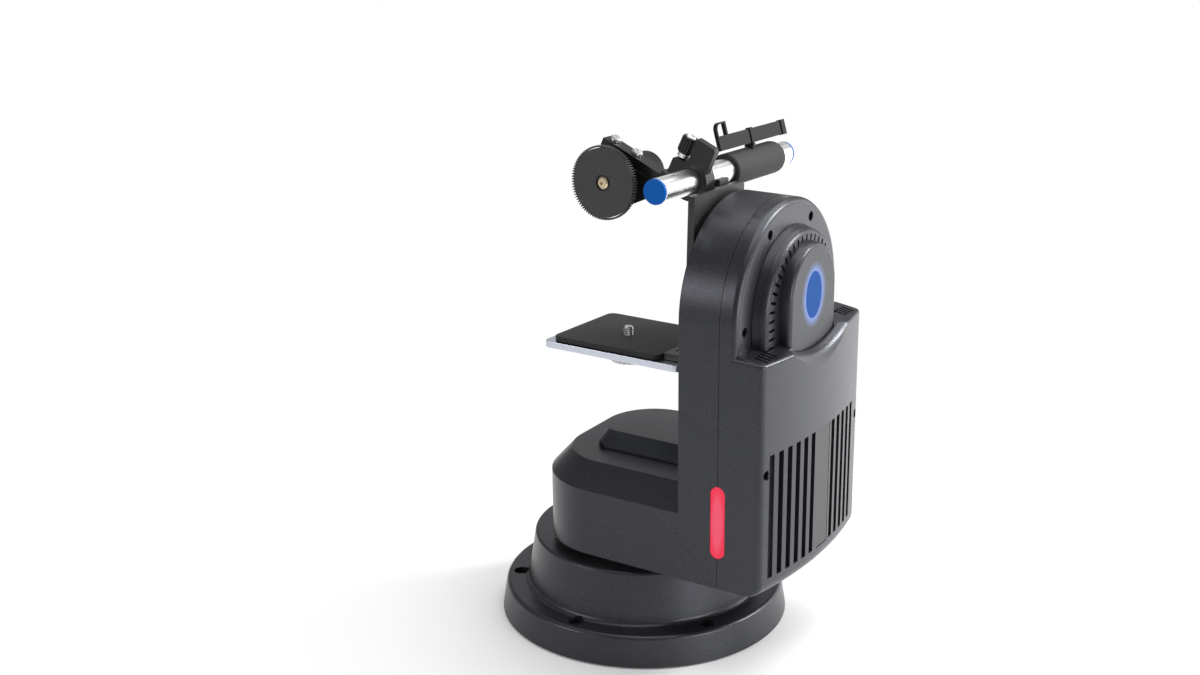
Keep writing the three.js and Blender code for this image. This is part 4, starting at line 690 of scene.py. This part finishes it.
casting = grainy("bare casting", grey(0.3), grey(0.42), 600.0, 0.4, 0.45, 0.15, 0.06, Metallic=0.9)
board = grainy("board green", (0.012, 0.1, 0.035, 1), (0.03, 0.16, 0.07, 1), 300.0, 0.5, 0.4, 0.1,
               0.02)
can_grey = grainy("motor can", grey(0.08), grey(0.14), 900.0, 0.4, 0.35, 0.1, 0.03, Metallic=0.5)
cap_blue = grainy("blue plug", (0.0, 0.1, 0.42, 1), (0.0, 0.12, 0.48, 1), 700.0, 0.4, 0.4, 0.08,
                  0.02, Specular_IOR_Level=0.12)
strip_grey = grainy("blank strip", grey(0.02), grey(0.04), 1500.0, 0.3, 0.4, 0.08, 0.02)

chrome = metal("polished chrome", grey(0.86), (60.0, 60.0, 60.0), 0.04, 0.28, 0.04)
steel = metal("plain steel", grey(0.55), (300.0, 300.0, 900.0), 0.25, 0.3, 0.2)
bright_screw = metal("bright screw", grey(0.85), (500.0, 500.0, 500.0), 0.15, 0.34, 0.15)
aluminium = metal("brushed aluminium", grey(0.62, (0.93, 0.98, 1.1)), (30.0, 900.0, 900.0), 0.25,
                  0.3, 0.2)
brass = metal("machined brass", (0.68, 0.56, 0.38, 1), (400.0, 400.0, 400.0), 0.2, 0.25, 0.15)


def per(size):
    """One over a length in millimetres, or nothing on an axis that doesn't count."""
    return 1 / (size * MM) if size else 0.0


def metres(point):
    return tuple(c * MM for c in point)


def lens(name, middle, half_size, inner, outer, axis, lit_at, dark_at):
    values = {
        "Middle": metres(middle), "Per half size": tuple(per(size) for size in half_size),
        "Inner": inner, "Outer": outer, "Edge start": 0.6, "Edge end": 1.0, "Axis": axis,
        "Lit at": lit_at * MM, "Dark at": dark_at * MM}
    plain = {
        "Base Color": grey(0.1, inner), "Emission Strength": 1.0, "Specular IOR Level": 0.03}
    return material(name, GLOW, values, plain, "Emission Color")


status_blue = lens("blue status lens", LENS_MIDDLE, (0, *LENS_HALF), (0.006, 0.085, 0.34, 1),
                   (0.012, 0.08, 0.38, 1), (1.0, 0.0, 0.0), 116.2, 115.8)
tally_red = lens("red tally lens", TALLY_MIDDLE, (TALLY_SIZE[0] / 2, 0, TALLY_SIZE[1] / 2),
                 (0.8, 0.1, 0.16, 1), (0.8, 0.04, 0.08, 1), (0.0, 1.0, 0.0), -63.2, -62.8)


def tilt_cover_material():
    """The moulding's finish with the faint violet light of the lens round it."""
    made = cover.copy()
    made.name = "charcoal moulding by the lens"
    tree = made.node_tree
    shader = tree.nodes["Principled BSDF"]
    shader.inputs["Specular IOR Level"].default_value = 0.36
    shader.inputs["Emission Strength"].default_value = 1.0
    off = vector(tree, "SUBTRACT", object_place(tree), metres(LENS_MIDDLE))
    away = vector(tree, "MULTIPLY", off, (0.0, 1.0, 1.0))
    radius = vector(tree, "LENGTH", away)
    reach = reach_to_edge(tree, away, (0.0, per(LENS_HALF[0]), per(LENS_HALF[1])))
    beyond = number(tree, "SUBTRACT", radius, number(tree, "DIVIDE", radius, reach))
    # the light dies away from just inside the lens to 6.8 mm outside it
    fade = span(tree, beyond, -0.001, 0.0068, 1.0, 0.0, interpolation_type="SMOOTHSTEP")
    tree.links.new(mixed(tree, fade, BLACK, (0.13, 0.24, 0.62, 1)), shader.inputs["Emission Color"])
    return made


lens_cover = tilt_cover_material()

# Plain solids keep their own meshes and only get a finish
PLAIN = [
    (board, ("base_board", "control_board")),
    (brass, ("pan_pinion", "tilt_pinion")),
    (can_grey, ("pan_motor", "tilt_motor")),
    (casting, ("pan_motor_bracket", "foot_base_plate", "arm_frame", "tilt_motor_bracket",
               "driver_heatsink")),
    (dark_rubber, ("cable_grommet",)),
    (steel, ("base_bottom_plate", "pan_bearing_outer", "pan_bearing_inner", "pan_gear",
             "tilt_bearing_outer", "tilt_bearing_inner", "tilt_gear", "tilt_hub")),
]
for look, names in PLAIN:
    for plain_name in names:
        coat(frame["nodes"][plain_name].data, look)


# Base

FLANGE_Z, DRUM_Z = 20.4, 53.7
# (radius, height) from the rim over the flange and the drum to the room inside
BASE_PROFILE = (
    [(92.5, 1)] + arc(89.9 - 3, FLANGE_Z - 3, 3, 0, 90, 10)
    + arc(74.9 + 3.6, FLANGE_Z + 3.6, 3.6, 270, 180, 10) + arc(70.5 - 2, DRUM_Z - 2, 2, 0, 90, 8)
    + [(40.3, DRUM_Z), (40.3, 42.2), (36.8, 42.2), (36.8, 39.5), (45.3, 39.5), (45.3, 49.7),
       (64.5, 49.7), (64.5, 3.8), (66.8, 3.8), (66.8, 1), (85.3, 1), (85.3, 3.3), (90.3, 3.3),
       (90.3, 1)])


def build_base():
    shell = turn("base_shell", BASE_PROFILE, steps=FINE)
    bay = prism("bay", rounded(0, 36, 44, 16, 2.5), 45, 95, rear)
    carve(shell, CIRCLE.grow("bolt_holes"), bay)
    finish(shell, 0, housing, "base", ["base_housing"])
    ring = turn("rubber_foot", [
        (85.6, 0.6), (86.2, 0), (89.4, 0), (90, 0.6), (90, 3), (85.6, 3)], steps=FINE)
    finish(ring, 0, dark_rubber, "base", ["foot_ring"])
    neck = turn("turntable_neck", [
        (14, 29.9), (26, 29.9), (26, 38.7), (28, 38.7), (28, 51.8), (31, 51.8), (31, 54.1),
        (47.6, 54.1), (48, 54.5), (48, 58.6), (47.6, 59), (14, 59)], steps=FINE)
    finish(neck, 0, casting, "turret", ["pan_turntable"])
    from_node("connector_panel", 0.25, anodised, "base")
    from_node("power_inlet", 0.2, moulded, "base")
    from_node("control_socket", 0.2, steel, "base")


# Housing of the foot and the arm

ARM_HALF = 64.2  # half the arm's width
FOOT_Z = 59  # the floor of the foot
SPLIT_X = 89.95  # where the arm's two shells meet


def foot_outline(half, left, corner, right, steps=24):
    """A rectangle with two round corners on the left."""
    points = (arc(-left + corner, -half + corner, corner, 270, 180, steps)
              + arc(-left + corner, half - corner, corner, 180, 90, steps)
              + [(right, half), (right, -half)])
    return points[::-1]


def foot_inset(inset, right):
    return foot_outline(ARM_HALF - inset, 49.3 - inset, max(46.8 - inset, inset), right)


def arm_outline(inset, bottom):
    return arch(ARM_HALF - inset, TILT_Z, bottom)


def tally_form(name, grow, low, high):
    x, z = TALLY_MIDDLE[0], TALLY_MIDDLE[2]
    width, height = (size + 2 * grow for size in TALLY_SIZE)
    outline = rounded(x, z, width, height, TALLY_SIZE[0] / 2 + grow - 0.001, 16)
    return prism(name, outline, low, high, rear)


def tally_cutter():
    return tally_form("slot", GAP, -72, -54)


def build_housing():
    right = 65.7
    narrower = 13.1  # what the foot's sloped top loses on each side over its 14.6 mm
    slope = narrower / 14.6
    foot = skin("foot", foot_inset, ((0, FOOT_Z), (0, 101.4), (narrower, 116)), up, right)
    room_top = (WALL + narrower * slope, 113)
    room = skin("room", foot_inset, ((WALL, 54), (WALL, 99.9), room_top), up, 75)
    arm = skin("arm_shell", arm_outline, (
        (1.2, 62.7), (0.35, 63.05), (0, 63.9), (0, 89.65)), side, FOOT_Z)
    weld(arm, foot)
    carve(room, block("keep", 65.4, 90, -70, 70, 50, 62))
    arm_room = prism("arm_room", arm_outline(WALL, 62), right, 100, side)
    hub = rod_of("hub_hole", 20.6, 55, 72, "x", (0, 0, TILT_Z), MIDDLE)
    hatch = block("hatch", -6, 50, -20, 20, 100, 125)
    carve(arm, room, arm_room, hub, hatch, tally_cutter())
    finish(arm, 0.4, housing, "turret", ["arm_housing"])
    tally = tally_form("tally", 0, TALLY_MIDDLE[1], -60.2)
    finish(tally, 0.7, tally_red, "turret", ["tally_lens"], segments=4)


def build_top_cover():
    right, wall = 62.4, 2.4

    def lower(inset):
        return foot_outline(30 - inset, 18.5 - inset, 9 - inset, right - inset, 12)

    def upper(inset):
        return foot_outline(20.5 - inset, 15.5 - inset, 6 - inset, right - inset, 12)

    shell = loft("top_cover", [(lower(0), 116.3), (lower(0), 118.7), (upper(0), 125)], up)
    room = loft("cover_room", [(lower(wall), 111), (lower(wall), 117.5), (upper(wall), 122.6)], up)
    carve(shell, room)
    finish(shell, 0.8, cover, "turret", ["foot_top_cover"], segments=3)


# Outer cover of the arm

BULGE_X, BULGE_RADIUS = 125, 292  # the bulge's face is a wide arc
CREST_X = 101  # the flat face above the bulge
LEDGE_Z = 201.3  # top of the bulge
DISC_X, FACE_X = 110, 117  # faces of the disc and of the boss
DISC_HALF, BOSS_HALF = 46.9, 30.6
STRIP_Y = 3.4
UPPER_FOOT_Z = 147.3  # the upper part of the cover starts behind the bulge

# Places (y, z) of the cover's screws: two a side round the tilt axis, one lower
SCREW_RING = 55
ring_angles = [math.radians(angle) for angle in (62, -1.6)]
ring_screws = [(SCREW_RING * math.cos(a), TILT_Z + SCREW_RING * math.sin(a)) for a in ring_angles]
SCREWS = [(y * hand, z) for hand in (1, -1) for y, z in ring_screws + [(59, 136)]]


def bulge_face(y, radius=BULGE_RADIUS, apex=BULGE_X):
    return apex - radius + math.sqrt(radius ** 2 - y ** 2)


def bulge_outline(inset, drop, start, steps=64):
    """The bulge from above: a wide arc between two round corners."""
    half = ARM_HALF - inset
    radius = BULGE_RADIUS - inset
    apex = BULGE_X - inset - drop
    corner = max(4 - inset, 1)
    touch = (half - corner) / (1 - corner / radius)
    turned = math.degrees(math.asin(touch / radius))
    corner_x = bulge_face(touch, radius, apex) - corner * math.cos(math.radians(turned))
    points = [(start, -half)] + arc(corner_x, -half + corner, corner, -90, -turned, 8)
    for i in range(1, steps):
        y = touch * (2 * i / steps - 1)
        points.append((bulge_face(y, radius, apex), y))
    return points + arc(corner_x, half - corner, corner, turned, 90, 8) + [(start, half)]


def bulge_form(name, start):
    """The bulge with its round foot, and the ledge that rises towards the arm."""
    layers = [(bulge_outline(0, 8 * (1 - rise), start), FOOT_Z + 8 * (1 - drop))
              for drop, rise in arc(0, 0, 1, 0, 90, 10)]
    crown = [(2 - drop, 201.1 + rise) for drop, rise in arc(0, 0, 2, 0, 75, 6)]
    crown += [(2 + 6 * i, 203.1 + 1.1 * i) for i in (1, 2, 3)]
    for drop, height in crown:
        lean = max(height - LEDGE_Z, 0) / 5.2
        inset = 5 * (1 - math.sqrt(1 - lean ** 2))
        layers.append((bulge_outline(inset, drop - inset, start), height))
    return loft(name, layers, up)


def bulge_room(start):
    layers = [(bulge_outline(WALL, drop, start), height)
              for drop, height in ((4, 62), (0, 67), (0, 198.3))]
    return loft("bulge_room", layers, up)


def disc_outline(inset, bottom):
    return arch(DISC_HALF - inset, SHOULDER_Z, bottom)


def boss_outline(inset, bottom):
    return arch(BOSS_HALF - inset, BOSS_Z, bottom)


def scoop_forms():
    """The scoop over the bulge, with a flare at its rim, and the wall's back behind it."""
    middle, floor = (0, 0, 277), 117.6
    curve = [(80.2 + 10.3 * (1 - left), floor + 7.4 * rise)
             for left, rise in arc(0, 0, 1, 0, 90, 16)]
    back = [(radius + WALL, place - WALL) for radius, place in curve]
    front = turn("scoop", [(0, floor)] + curve + [(90.5, 130), (0, 130)], "x", middle, FINE)
    behind = turn("scoop_back", [(0, 114.6)] + back + [(95, 130), (0, 130)], "x", middle, MIDDLE)
    return front, behind


def screw_posts():
    """Posts for the six cover screws, and the stepped holes in them."""
    posts, holes = [], []
    for y, z in SCREWS:
        face = bulge_face(y) if z < LEDGE_Z else CREST_X
        posts.append(rod_of("post", 4.4, SPLIT_X, face - 2.4, "x", (0, y, z), COARSE))
        profile = [(0, 85), (1.85, 85), (1.85, 94), (2.95, 94), (2.95, 130), (0, 130)]
        holes.append(turn("hole", profile, "x", (0, y, z), COARSE))
    return posts, holes


def cover_slots():
    """The blind slot, the tall slots, the strip's pocket between them, and the ledge's slots."""
    blind = {"Count": 1, "Size": (12.0, 4.6, SLOTS_HEIGHT), "Middle": (124.45, 0.0, SLOTS_Z)}
    ledge = {"Count": 4, "Pitch": 3.6, "Size": (8.6, 1.9, 14.0), "Middle": (112.6, 0.0, 202.0)}
    return [
        ROW.grow("blind_slot", First=-54.6, **blind),
        ROW.grow("left_slots"),
        ROW.grow("right_slots", First=15.7, Pitch=8.1),
        prism("pocket", rounded(STRIP_Y, SLOTS_Z, 15.1, 77.9, 1.3), 123.8, 130, side),
        *[ROW.grow("ledge_slots", First=first, **ledge) for first in (-56.8, 46.0)]]


def build_outer_cover():
    inside = SPLIT_X - 5
    upper = skin(
        "outer_cover", arm_outline, [(0, SPLIT_X)] + rounding(4, CREST_X), side, UPPER_FOOT_Z)
    weld(upper, bulge_form("bulge", SPLIT_X))
    upper_room = skin("upper_room", arm_outline, [(WALL, inside)] + [
        (inset + WALL, height) for inset, height in rounding(4, 98, 5)], side, UPPER_FOOT_Z)
    scoop, scoop_back = scoop_forms()
    window = rod_of("window", 36, 89, 106, "x", (0, 0, SHOULDER_Z), MIDDLE)
    disc_seat = prism("disc_seat", disc_outline(-GAP, 201.299), CREST_X, 110.3, side)
    boss_seat = skin("boss_seat", boss_outline, [(-GAP, CREST_X), (0.3 - GAP, 111)] + [
        (inset + 0.6 - GAP, height + GAP) for inset, height in rounding(3.2, FACE_X, 10)] + [
        (3.5, 117.601)], side, 192.7)
    room = carve(bulge_room(inside), scoop_back)
    carve(upper, upper_room, room, scoop, window, disc_seat, boss_seat)
    posts, holes = screw_posts()
    weld(upper, *posts)
    carve(upper, *holes)
    carve(upper, *cover_slots(), tally_cutter())
    finish(upper, 0.35, cover, "turret", ["arm_outer_cover"])
    outline = rounded(STRIP_Y, SLOTS_Z, 14.5, SLOTS_HEIGHT, 1)
    strip = prism("blank_label", outline, 124.1, 124.7, side)
    finish(strip, 0.15, strip_grey, "turret", ["label_strip"])
    screws = []
    for y, z in SCREWS:
        one = SCREW.grow("screw", Head=2.6, Height=2.4, Socket=1.5, Shank=1.5, Length=12.0)
        screws.append(placed(one, move(94.3, y, z) @ swing(90, "Y")))
    finish(merged("cover_screws", screws), 0, anodised, "turret",
           [f"cover_screw_{i + 1}" for i in range(len(SCREWS))])


def oval(grow):
    """The outline of the status lens."""
    half_y, half_z = LENS_HALF
    angles = [2 * math.pi * i / 96 for i in range(96)]
    return [((half_y + grow) * math.cos(a), LENS_MIDDLE[2] + (half_z + grow) * math.sin(a))
            for a in angles]


def build_tilt_cover():
    disc = skin("tilt_disc", disc_outline, [(0, 101.3), (0.6, 103.3)] + [
        (inset + 1.2, height) for inset, height in rounding(5, DISC_X, 10)], side, 201.6)
    boss = skin("tilt_boss", boss_outline, [(0, 105), (0.3, 111)] + [
        (inset + 0.6, height) for inset, height in rounding(3.2, FACE_X, 10)], side, 193)
    disc_room = prism("disc_room", disc_outline(8, 204.6), 95, 107, side)
    boss_room = prism("boss_room", boss_outline(WALL, 196), 101.3, 114, side)
    lamp = prism("lamp_hole", oval(GAP), 109, 122, side)
    bar = {"Count": 1, "Size": (SLOT_DEPTH, SLOT_LENGTH, SLOT_WIDTH)}
    places = [(hand, SHOULDER_Z - 5.343 * i) for hand in (-1, 1) for i in (1, 2, 3)]
    low = [ROW.grow("level", First=SLOT_RING * hand, Middle=(110.0, 0.0, z), **bar)
           for hand, z in places]
    carve(disc, FAN.grow("fan"), *low)
    weld(disc, boss)
    carve(disc, disc_room, boss_room, lamp)
    finish(disc, 0.3, lens_cover, "turret", ["tilt_cover"])
    status = prism("status", oval(0), 112.6, LENS_MIDDLE[0], side)
    weld(status, prism("lip", oval(2), 112.6, 113.7, side))
    finish(status, 0.3, status_blue, "turret", ["status_lens"], segments=3)


# Camera cradle

PLATE_SCREW_X, PLATE_SCREW_YS = 46, (-32, 4)
CAMERA_SCREW_Y = -16


def upright_hole(radius, high=-20, x=0, y=CAMERA_SCREW_Y):
    return rod_of("hole", radius, -45, high, "z", (x, y, 0), COARSE)


def plate_holes(radius, high=-20):
    return [upright_hole(radius, high, PLATE_SCREW_X, y) for y in PLATE_SCREW_YS]


def build_cradle():
    upright = prism("upright", rounded(-12.8, 14.5, 59.6, 105, 2), 55, 59.4, side)
    weld(upright, block("flange", 40, 55.3, -40.6, 15, -33.7, -29.7))
    ring_room = rod_of("ring_room", 12.4, -34.6, -12.6, "y", (ROD_X, 0, ROD_Z), MIDDLE)
    carve(upright, ring_room, *plate_holes(2.3))
    finish(upright, 0.4, dark_plate, "cradle", ["upright_plate"], CRADLE)

    plate = prism("plate", rounded(6.35, -13, 96.7, 70, 5), -38, -34, up)
    carve(plate, upright_hole(3.6), *plate_holes(2.3), *plate_holes(4.3, -36))
    finish(plate, 0.35, aluminium, "cradle", ["camera_plate"], CRADLE)

    pad = prism("pad", rounded(1.7, -13, 75.4, 67, 5), -33.7, -30.3, up)
    carve(pad, upright_hole(3.6))
    finish(pad, 0.6, dark_rubber, "cradle", ["plate_pad"], CRADLE, 3)

    for i, y in enumerate(PLATE_SCREW_YS):
        name = f"plate_screw_{i + 1}"
        one = SCREW.grow(name + "_look", Head=4.0, Height=1.7, Socket=2.2, Shank=2.0, Length=6.0)
        placed(one, CRADLE @ (move(PLATE_SCREW_X, y, -36.3) @ swing(180, "X")))
        finish(one, 0, steel, "cradle", [name])

    knob = RIBBED.grow(
        "camera_knob", Ribs=24, Radius=11.0, Rib=1.1, Low=-47.3, High=-38.3, Inset=0.7)
    ridges = [(3.175 - 0.45 * (i % 2), -38.2 + 0.635 * i) for i in range(20)]
    thread = turn("thread", [(0, -39)] + ridges + [(2.4, -25.3), (0, -25.3)], steps=40)
    screw = merged("camera_screw_look", [knob, thread])
    at = CRADLE @ move(y=CAMERA_SCREW_Y)
    finish(screw, 0, steel, "camera_screw", ["camera_screw"], at)
    from_node("rod_mount", 0.4, anodised, "cradle")


# Support rod

ROD_FRONT, ROD_BACK = -62, 94.8


def build_rod():
    middle = (ROD_X, 0, ROD_Z)
    tube = turn("rod_tube", [
        (5.6, ROD_FRONT), (7.1, ROD_FRONT), (7.5, -61.6), (7.5, 94.4), (7.1, ROD_BACK),
        (5.6, ROD_BACK)], "y", middle)
    finish(tube, 0, chrome, "rod", ["rod"], CRADLE)
    for name, end, out in (("rod_cap_front", ROD_FRONT, -1), ("rod_cap_back", ROD_BACK, 1)):
        face, seat = end + out * 1.8, end + out * 0.3
        profile = [(0, face), (6.9, face), (7.35, face - out * 0.2), (7.5, face - out * 0.6),
                   (7.5, seat), (5.3, seat), (5.3, end - out * 8), (0, end - out * 8)]
        cap = turn(name + "_look", profile, "y", middle)
        finish(cap, 0, cap_blue, "rod", [name], CRADLE)
    end = [(7.9 + 2.3 * left, 77 + 4 * rise) for left, rise in arc(0, 0, 1, 0, 90, 10)]
    profile = [(7.8, 18.6), (9.6, 18.6), (10.2, 19.2)] + end + [(7.8, 81)]
    sleeve = turn("sleeve_look", profile, "y", middle)
    finish(sleeve, 0, sleeve_rubber, "rod", ["rod_sleeve"], CRADLE)
    build_clip(middle)


def build_clip(middle):
    """The strip that leans above the sleeve, with its hook."""
    strip = block("clip_strip", -1.2, 1.2, 8, 88, -4.4, 4.4)
    grooves = [block("groove", 0.7 * hand, 3 * hand, y, y + 1.6, -6, 6)
               for y in (45.4, 86.4) for hand in (-1, 1)]
    flange = block("clip_flange", -1.55, 1.55, 47, 50, -4.4, 5.1)
    tail = block("clip_tail", -1.55, 1.55, 88.0, 93, -4.75, 4.75)
    outline = [(8, 4.1), (20.4, 4.1), (20.4, 12.6)] + arc(13, 7.6, 5, 90, 180, 12)
    inner = [(9.2, 4.4), (18.6, 4.4), (18.6, 11.4)] + arc(13, 7.6, 3.8, 90, 180, 12)
    loop = prism("loop", outline, -1.2, 1.2, side)
    carve(loop, prism("hole", inner, -3, 3, side))
    carve(strip, *grooves)
    weld(strip, flange, tail, loop)
    placed(strip, move(45.6, 0, 88.8) @ swing(-17, "Y"))
    weld(strip, block("saddle", 42.6, 48.6, 47, 50, 77.7, 84.7))
    carve(strip, rod_of("sleeve_room", 10.5, 18, 82, "y", middle, MIDDLE))
    finish(strip, 0.25, moulded, "rod", ["lead_clip"], CRADLE)


# Clamp, its knob and the focus drive, in the clamp's own frame: round the rod, leaning with it

CLAMP_FRONT, CLAMP_BACK = -24.6, -14.5
STUD_X, DRIVE_Y = -12.3, -19.55
ARM_SCREW_XS = (-40.5, -57)
GEAR_MIDDLE = (ROD_X - 52.3, 0, ROD_Z - 5)


def clamp_form(name, outline, back=CLAMP_BACK):
    return prism(name, outline, CLAMP_FRONT, back, rear)


def build_clamp():
    ring = rod_of("clamp", 11.7, CLAMP_FRONT, CLAMP_BACK, "y", steps=MIDDLE)
    ear = clamp_form("ear", [(-15.6, -2), (0, -2), (0, 8.6), (-14.2, 8.6), (-15.6, 7.2)])
    lug = clamp_form("lug", [(-19, -10.8), (-18, -11.8), (0, -11.8), (0, -3.4), (-19, -3.4)])
    head = clamp_form("head", [(-6, 0), (7.7, 0), (7.7, 23.8), (6.3, 25.2), (-6, 25.2)], -19.5)
    weld(ring, ear, lug, head)
    hole = rod_of("rod_hole", 7.8, -30, -10, "y", steps=MIDDLE)
    slit = block("slit", -25, 0, -30, -10, -3.4, -2)
    stud = rod_of("stud_hole", 2.1, -6.4, 14, "z", (STUD_X, DRIVE_Y, 0), COARSE)
    pocket = block("pocket", -19.6, -16.1, -23.3, -15.8, -10.5, -7.1)
    carve(ring, hole, slit, stud, pocket)
    finish(ring, 0.45, anodised, "focus_arm", ["rod_clamp"], CLAMP, 3)

    at = CLAMP @ move(STUD_X, DRIVE_Y)
    knob = RIBBED.grow("thumb_ribs", Ribs=14, Radius=4.9, Rib=0.85, Low=12.1, High=22.1, Inset=0.7)
    thumb = merged("thumb_knob", [knob, rod_of("thumb_stud", 1.8, -6.1, 12.3, "z")])
    finish(thumb, 0, anodised, "clamp_knob", ["clamp_knob"], at)
    top = turn("thumb_cap", [
        (0, 22), (3, 22), (3, 22.6), (2.7, 22.9), (1.6, 22.9), (1.2, 22.3), (0, 22.3)], steps=SMALL)
    nut = turn("thumb_nut", [
        (1.85, 8.95), (3.3, 8.95), (3.6, 9.25), (3.6, 11.75), (3.3, 12.05), (1.85, 12.05)],
        steps=SMALL)
    bits = merged("thumb_bright", [top, nut])
    finish(bits, 0, bright_screw, "clamp_knob", [], at)


def build_focus_drive():
    bar = clamp_form("bar", [
        (-62.9, -10.8), (-61.9, -11.8), (-19.3, -11.8), (-19.3, -5.8), (-62.4, -5.8),
        (-62.9, -6.3)])
    weld(bar, block("tongue", -19.6, -16.4, -23.0, -16.1, -10.2, -7.4))
    carve(bar, *[rod_of("hole", 1.9, -10.1, 0, "z", (x, DRIVE_Y, 0), COARSE) for x in ARM_SCREW_XS])
    finish(bar, 0.4, anodised, "focus_arm", ["focus_arm"], CLAMP)
    for i, x in enumerate(ARM_SCREW_XS):
        name = f"arm_screw_{i + 1}"
        one = SCREW.grow(name + "_look")
        finish(one, 0, bright_screw, "focus_arm", [name], CLAMP @ move(x, DRIVE_Y, -5.5))
    from_node("focus_plate", 0.35, anodised, "focus_arm")
    can = turn("drive_can", [
        (0, -20.3), (12.1, -20.3), (12.5, -19.9), (12.5, -9.8), (12.2, -9.5), (12.2, -8.9),
        (12.5, -8.6)] + arc(10.5, 13.7, 2, 0, 90, 8) + [(0, 15.7)], "y", GEAR_MIDDLE)
    finish(can, 0, moulded, "focus_arm", ["focus_motor"], CRADLE)

    at = CRADLE @ move(*GEAR_MIDDLE)
    gear = carve(GEAR.grow("gear_body", Width=2.6), rod_of("recess", 5, -41, -35.1, "y"))
    web = rod_of("gear_web", 17.6, -33.6, -31.1, "y", steps=MIDDLE)
    hub = rod_of("hub", 6, -31.3, -24.9, "y")
    shaft = rod_of("shaft", 2.5, -31.2, -20.6, "y")
    body = merged("focus_gear_look", [gear, web, hub, shaft])
    finish(body, 0, gear_black, "focus_gear", ["focus_gear"], at)
    screw = SCREW.grow("gear_screw_look", Head=3.6, Height=1.5, Socket=1.5, Shank=1.2, Length=0.2)
    turned = at @ (move(y=-35.4) @ swing(90, "X"))
    finish(screw, 0, brass, "focus_gear", ["focus_gear_screw"], turned)


build_base()
build_housing()
build_top_cover()
build_outer_cover()
build_tilt_cover()
build_cradle()
build_rod()
build_clamp()
build_focus_drive()


# Floor, lamps and camera

GLOSS_SEES, REST_SEES = 0.3, 0.1  # shares of the white backdrop that gloss and other rays see
PHOTO_WIDTH, FOCAL_PIXELS, SENSOR = 1200, 1693, 36


def seen_share(tree, glossy, rest):
    """How much of the backdrop a ray sees: the camera sees all of it, gloss a share."""
    rays = tree.nodes.new("ShaderNodeLightPath").outputs
    gloss = number(tree, "MULTIPLY", rays["Is Glossy Ray"], glossy)
    share = rest
    for ray in (rays["Is Camera Ray"], rays["Is Transmission Ray"], gloss):
        share = number(tree, "MAXIMUM", share, ray)
    return share


def build_floor():
    """A grey floor for the shadows, which turns plain white away from the head."""
    wide, z = 9000, -0.02
    corners = [(-wide, -wide, z), (wide, -wide, z), (wide, wide, z), (-wide, wide, z)]
    floor = from_faces("floor", corners, [(0, 1, 2, 3)])
    look = bpy.data.materials.new("white floor")
    look.use_nodes = True
    tree = look.node_tree
    shader = tree.nodes["Principled BSDF"]
    shader.inputs["Base Color"].default_value = grey(0.9)
    shader.inputs["Roughness"].default_value = 0.6
    away = vector(tree, "DISTANCE", object_place(tree), (0.03, 0.05, 0.0))
    far = span(tree, away, 0.1, 0.3, interpolation_type="SMOOTHSTEP")
    share = number(tree, "MULTIPLY", far, seen_share(tree, 0.0, 0.0))
    white = wire(tree, "ShaderNodeEmission", {"Color": WHITE, "Strength": 1.0})
    blend = wire(tree, "ShaderNodeMixShader", {0: share, 1: shader, 2: white})
    tree.links.new(blend.outputs[0], tree.nodes["Material Output"].inputs["Surface"])
    floor.data.materials.append(look)


def build_world():
    world = bpy.data.worlds.new("studio")
    bpy.context.scene.world = world
    world.use_nodes = True
    tree = world.node_tree
    background = tree.nodes["Background"]
    background.inputs["Color"].default_value = WHITE
    tree.links.new(seen_share(tree, GLOSS_SEES, REST_SEES), background.inputs["Strength"])


# Name, place and size in metres, power
LAMPS = [
    ("top", (0.35, 0.4, 1.7), (2.0, 2.0), 40),
    ("back right", (0.9, 1.3, 0.35), (1.6, 0.7), 6),
    ("edge light", (1.1, 1.0, 1.0), (0.3, 0.3), 20),
    ("back left", (-1.0, 1.5, 0.7), (1.0, 0.7), 0.8),
    ("right", (1.5, -0.25, 0.3), (0.8, 0.6), 10),
    ("front left", (-0.95, -1.5, 0.75), (0.7, 0.5), 8),
]


def build_lamps():
    for name, place, size, power in LAMPS:
        lamp = bpy.data.lights.new(name, "AREA")
        lamp.shape, lamp.size, lamp.size_y = "RECTANGLE", *size
        lamp.energy = power
        made = new_object(name, lamp)
        made.location = place
        aim = Vector((0.02, 0, 0.17)) - Vector(place)
        made.rotation_mode = "QUATERNION"
        made.rotation_quaternion = aim.to_track_quat("-Z", "Y")


def build_camera():
    """The camera that was fitted to the picture: its directions and its place in metres."""
    camera = bpy.data.cameras.new("camera")
    camera.sensor_width = SENSOR
    camera.lens = FOCAL_PIXELS / PHOTO_WIDTH * SENSOR
    camera.clip_start, camera.clip_end = 0.05, 50
    made = new_object("camera", camera)
    across = Vector((0.83896924, 0.5440571, -0.01150983))
    upward = Vector((-0.16082833, 0.26810214, 0.9498713))
    back = Vector((0.51987004, -0.7950617, 0.31242925))
    turned = Matrix((across, upward, back)).transposed().to_4x4()
    made.matrix_world = Matrix.Translation((0.528946, -0.858396, 0.514167)) @ turned
    bpy.context.scene.camera = made


build_floor()
build_world()
build_lamps()
build_camera()
bpy.context.scene.view_settings.view_transform = "Standard"
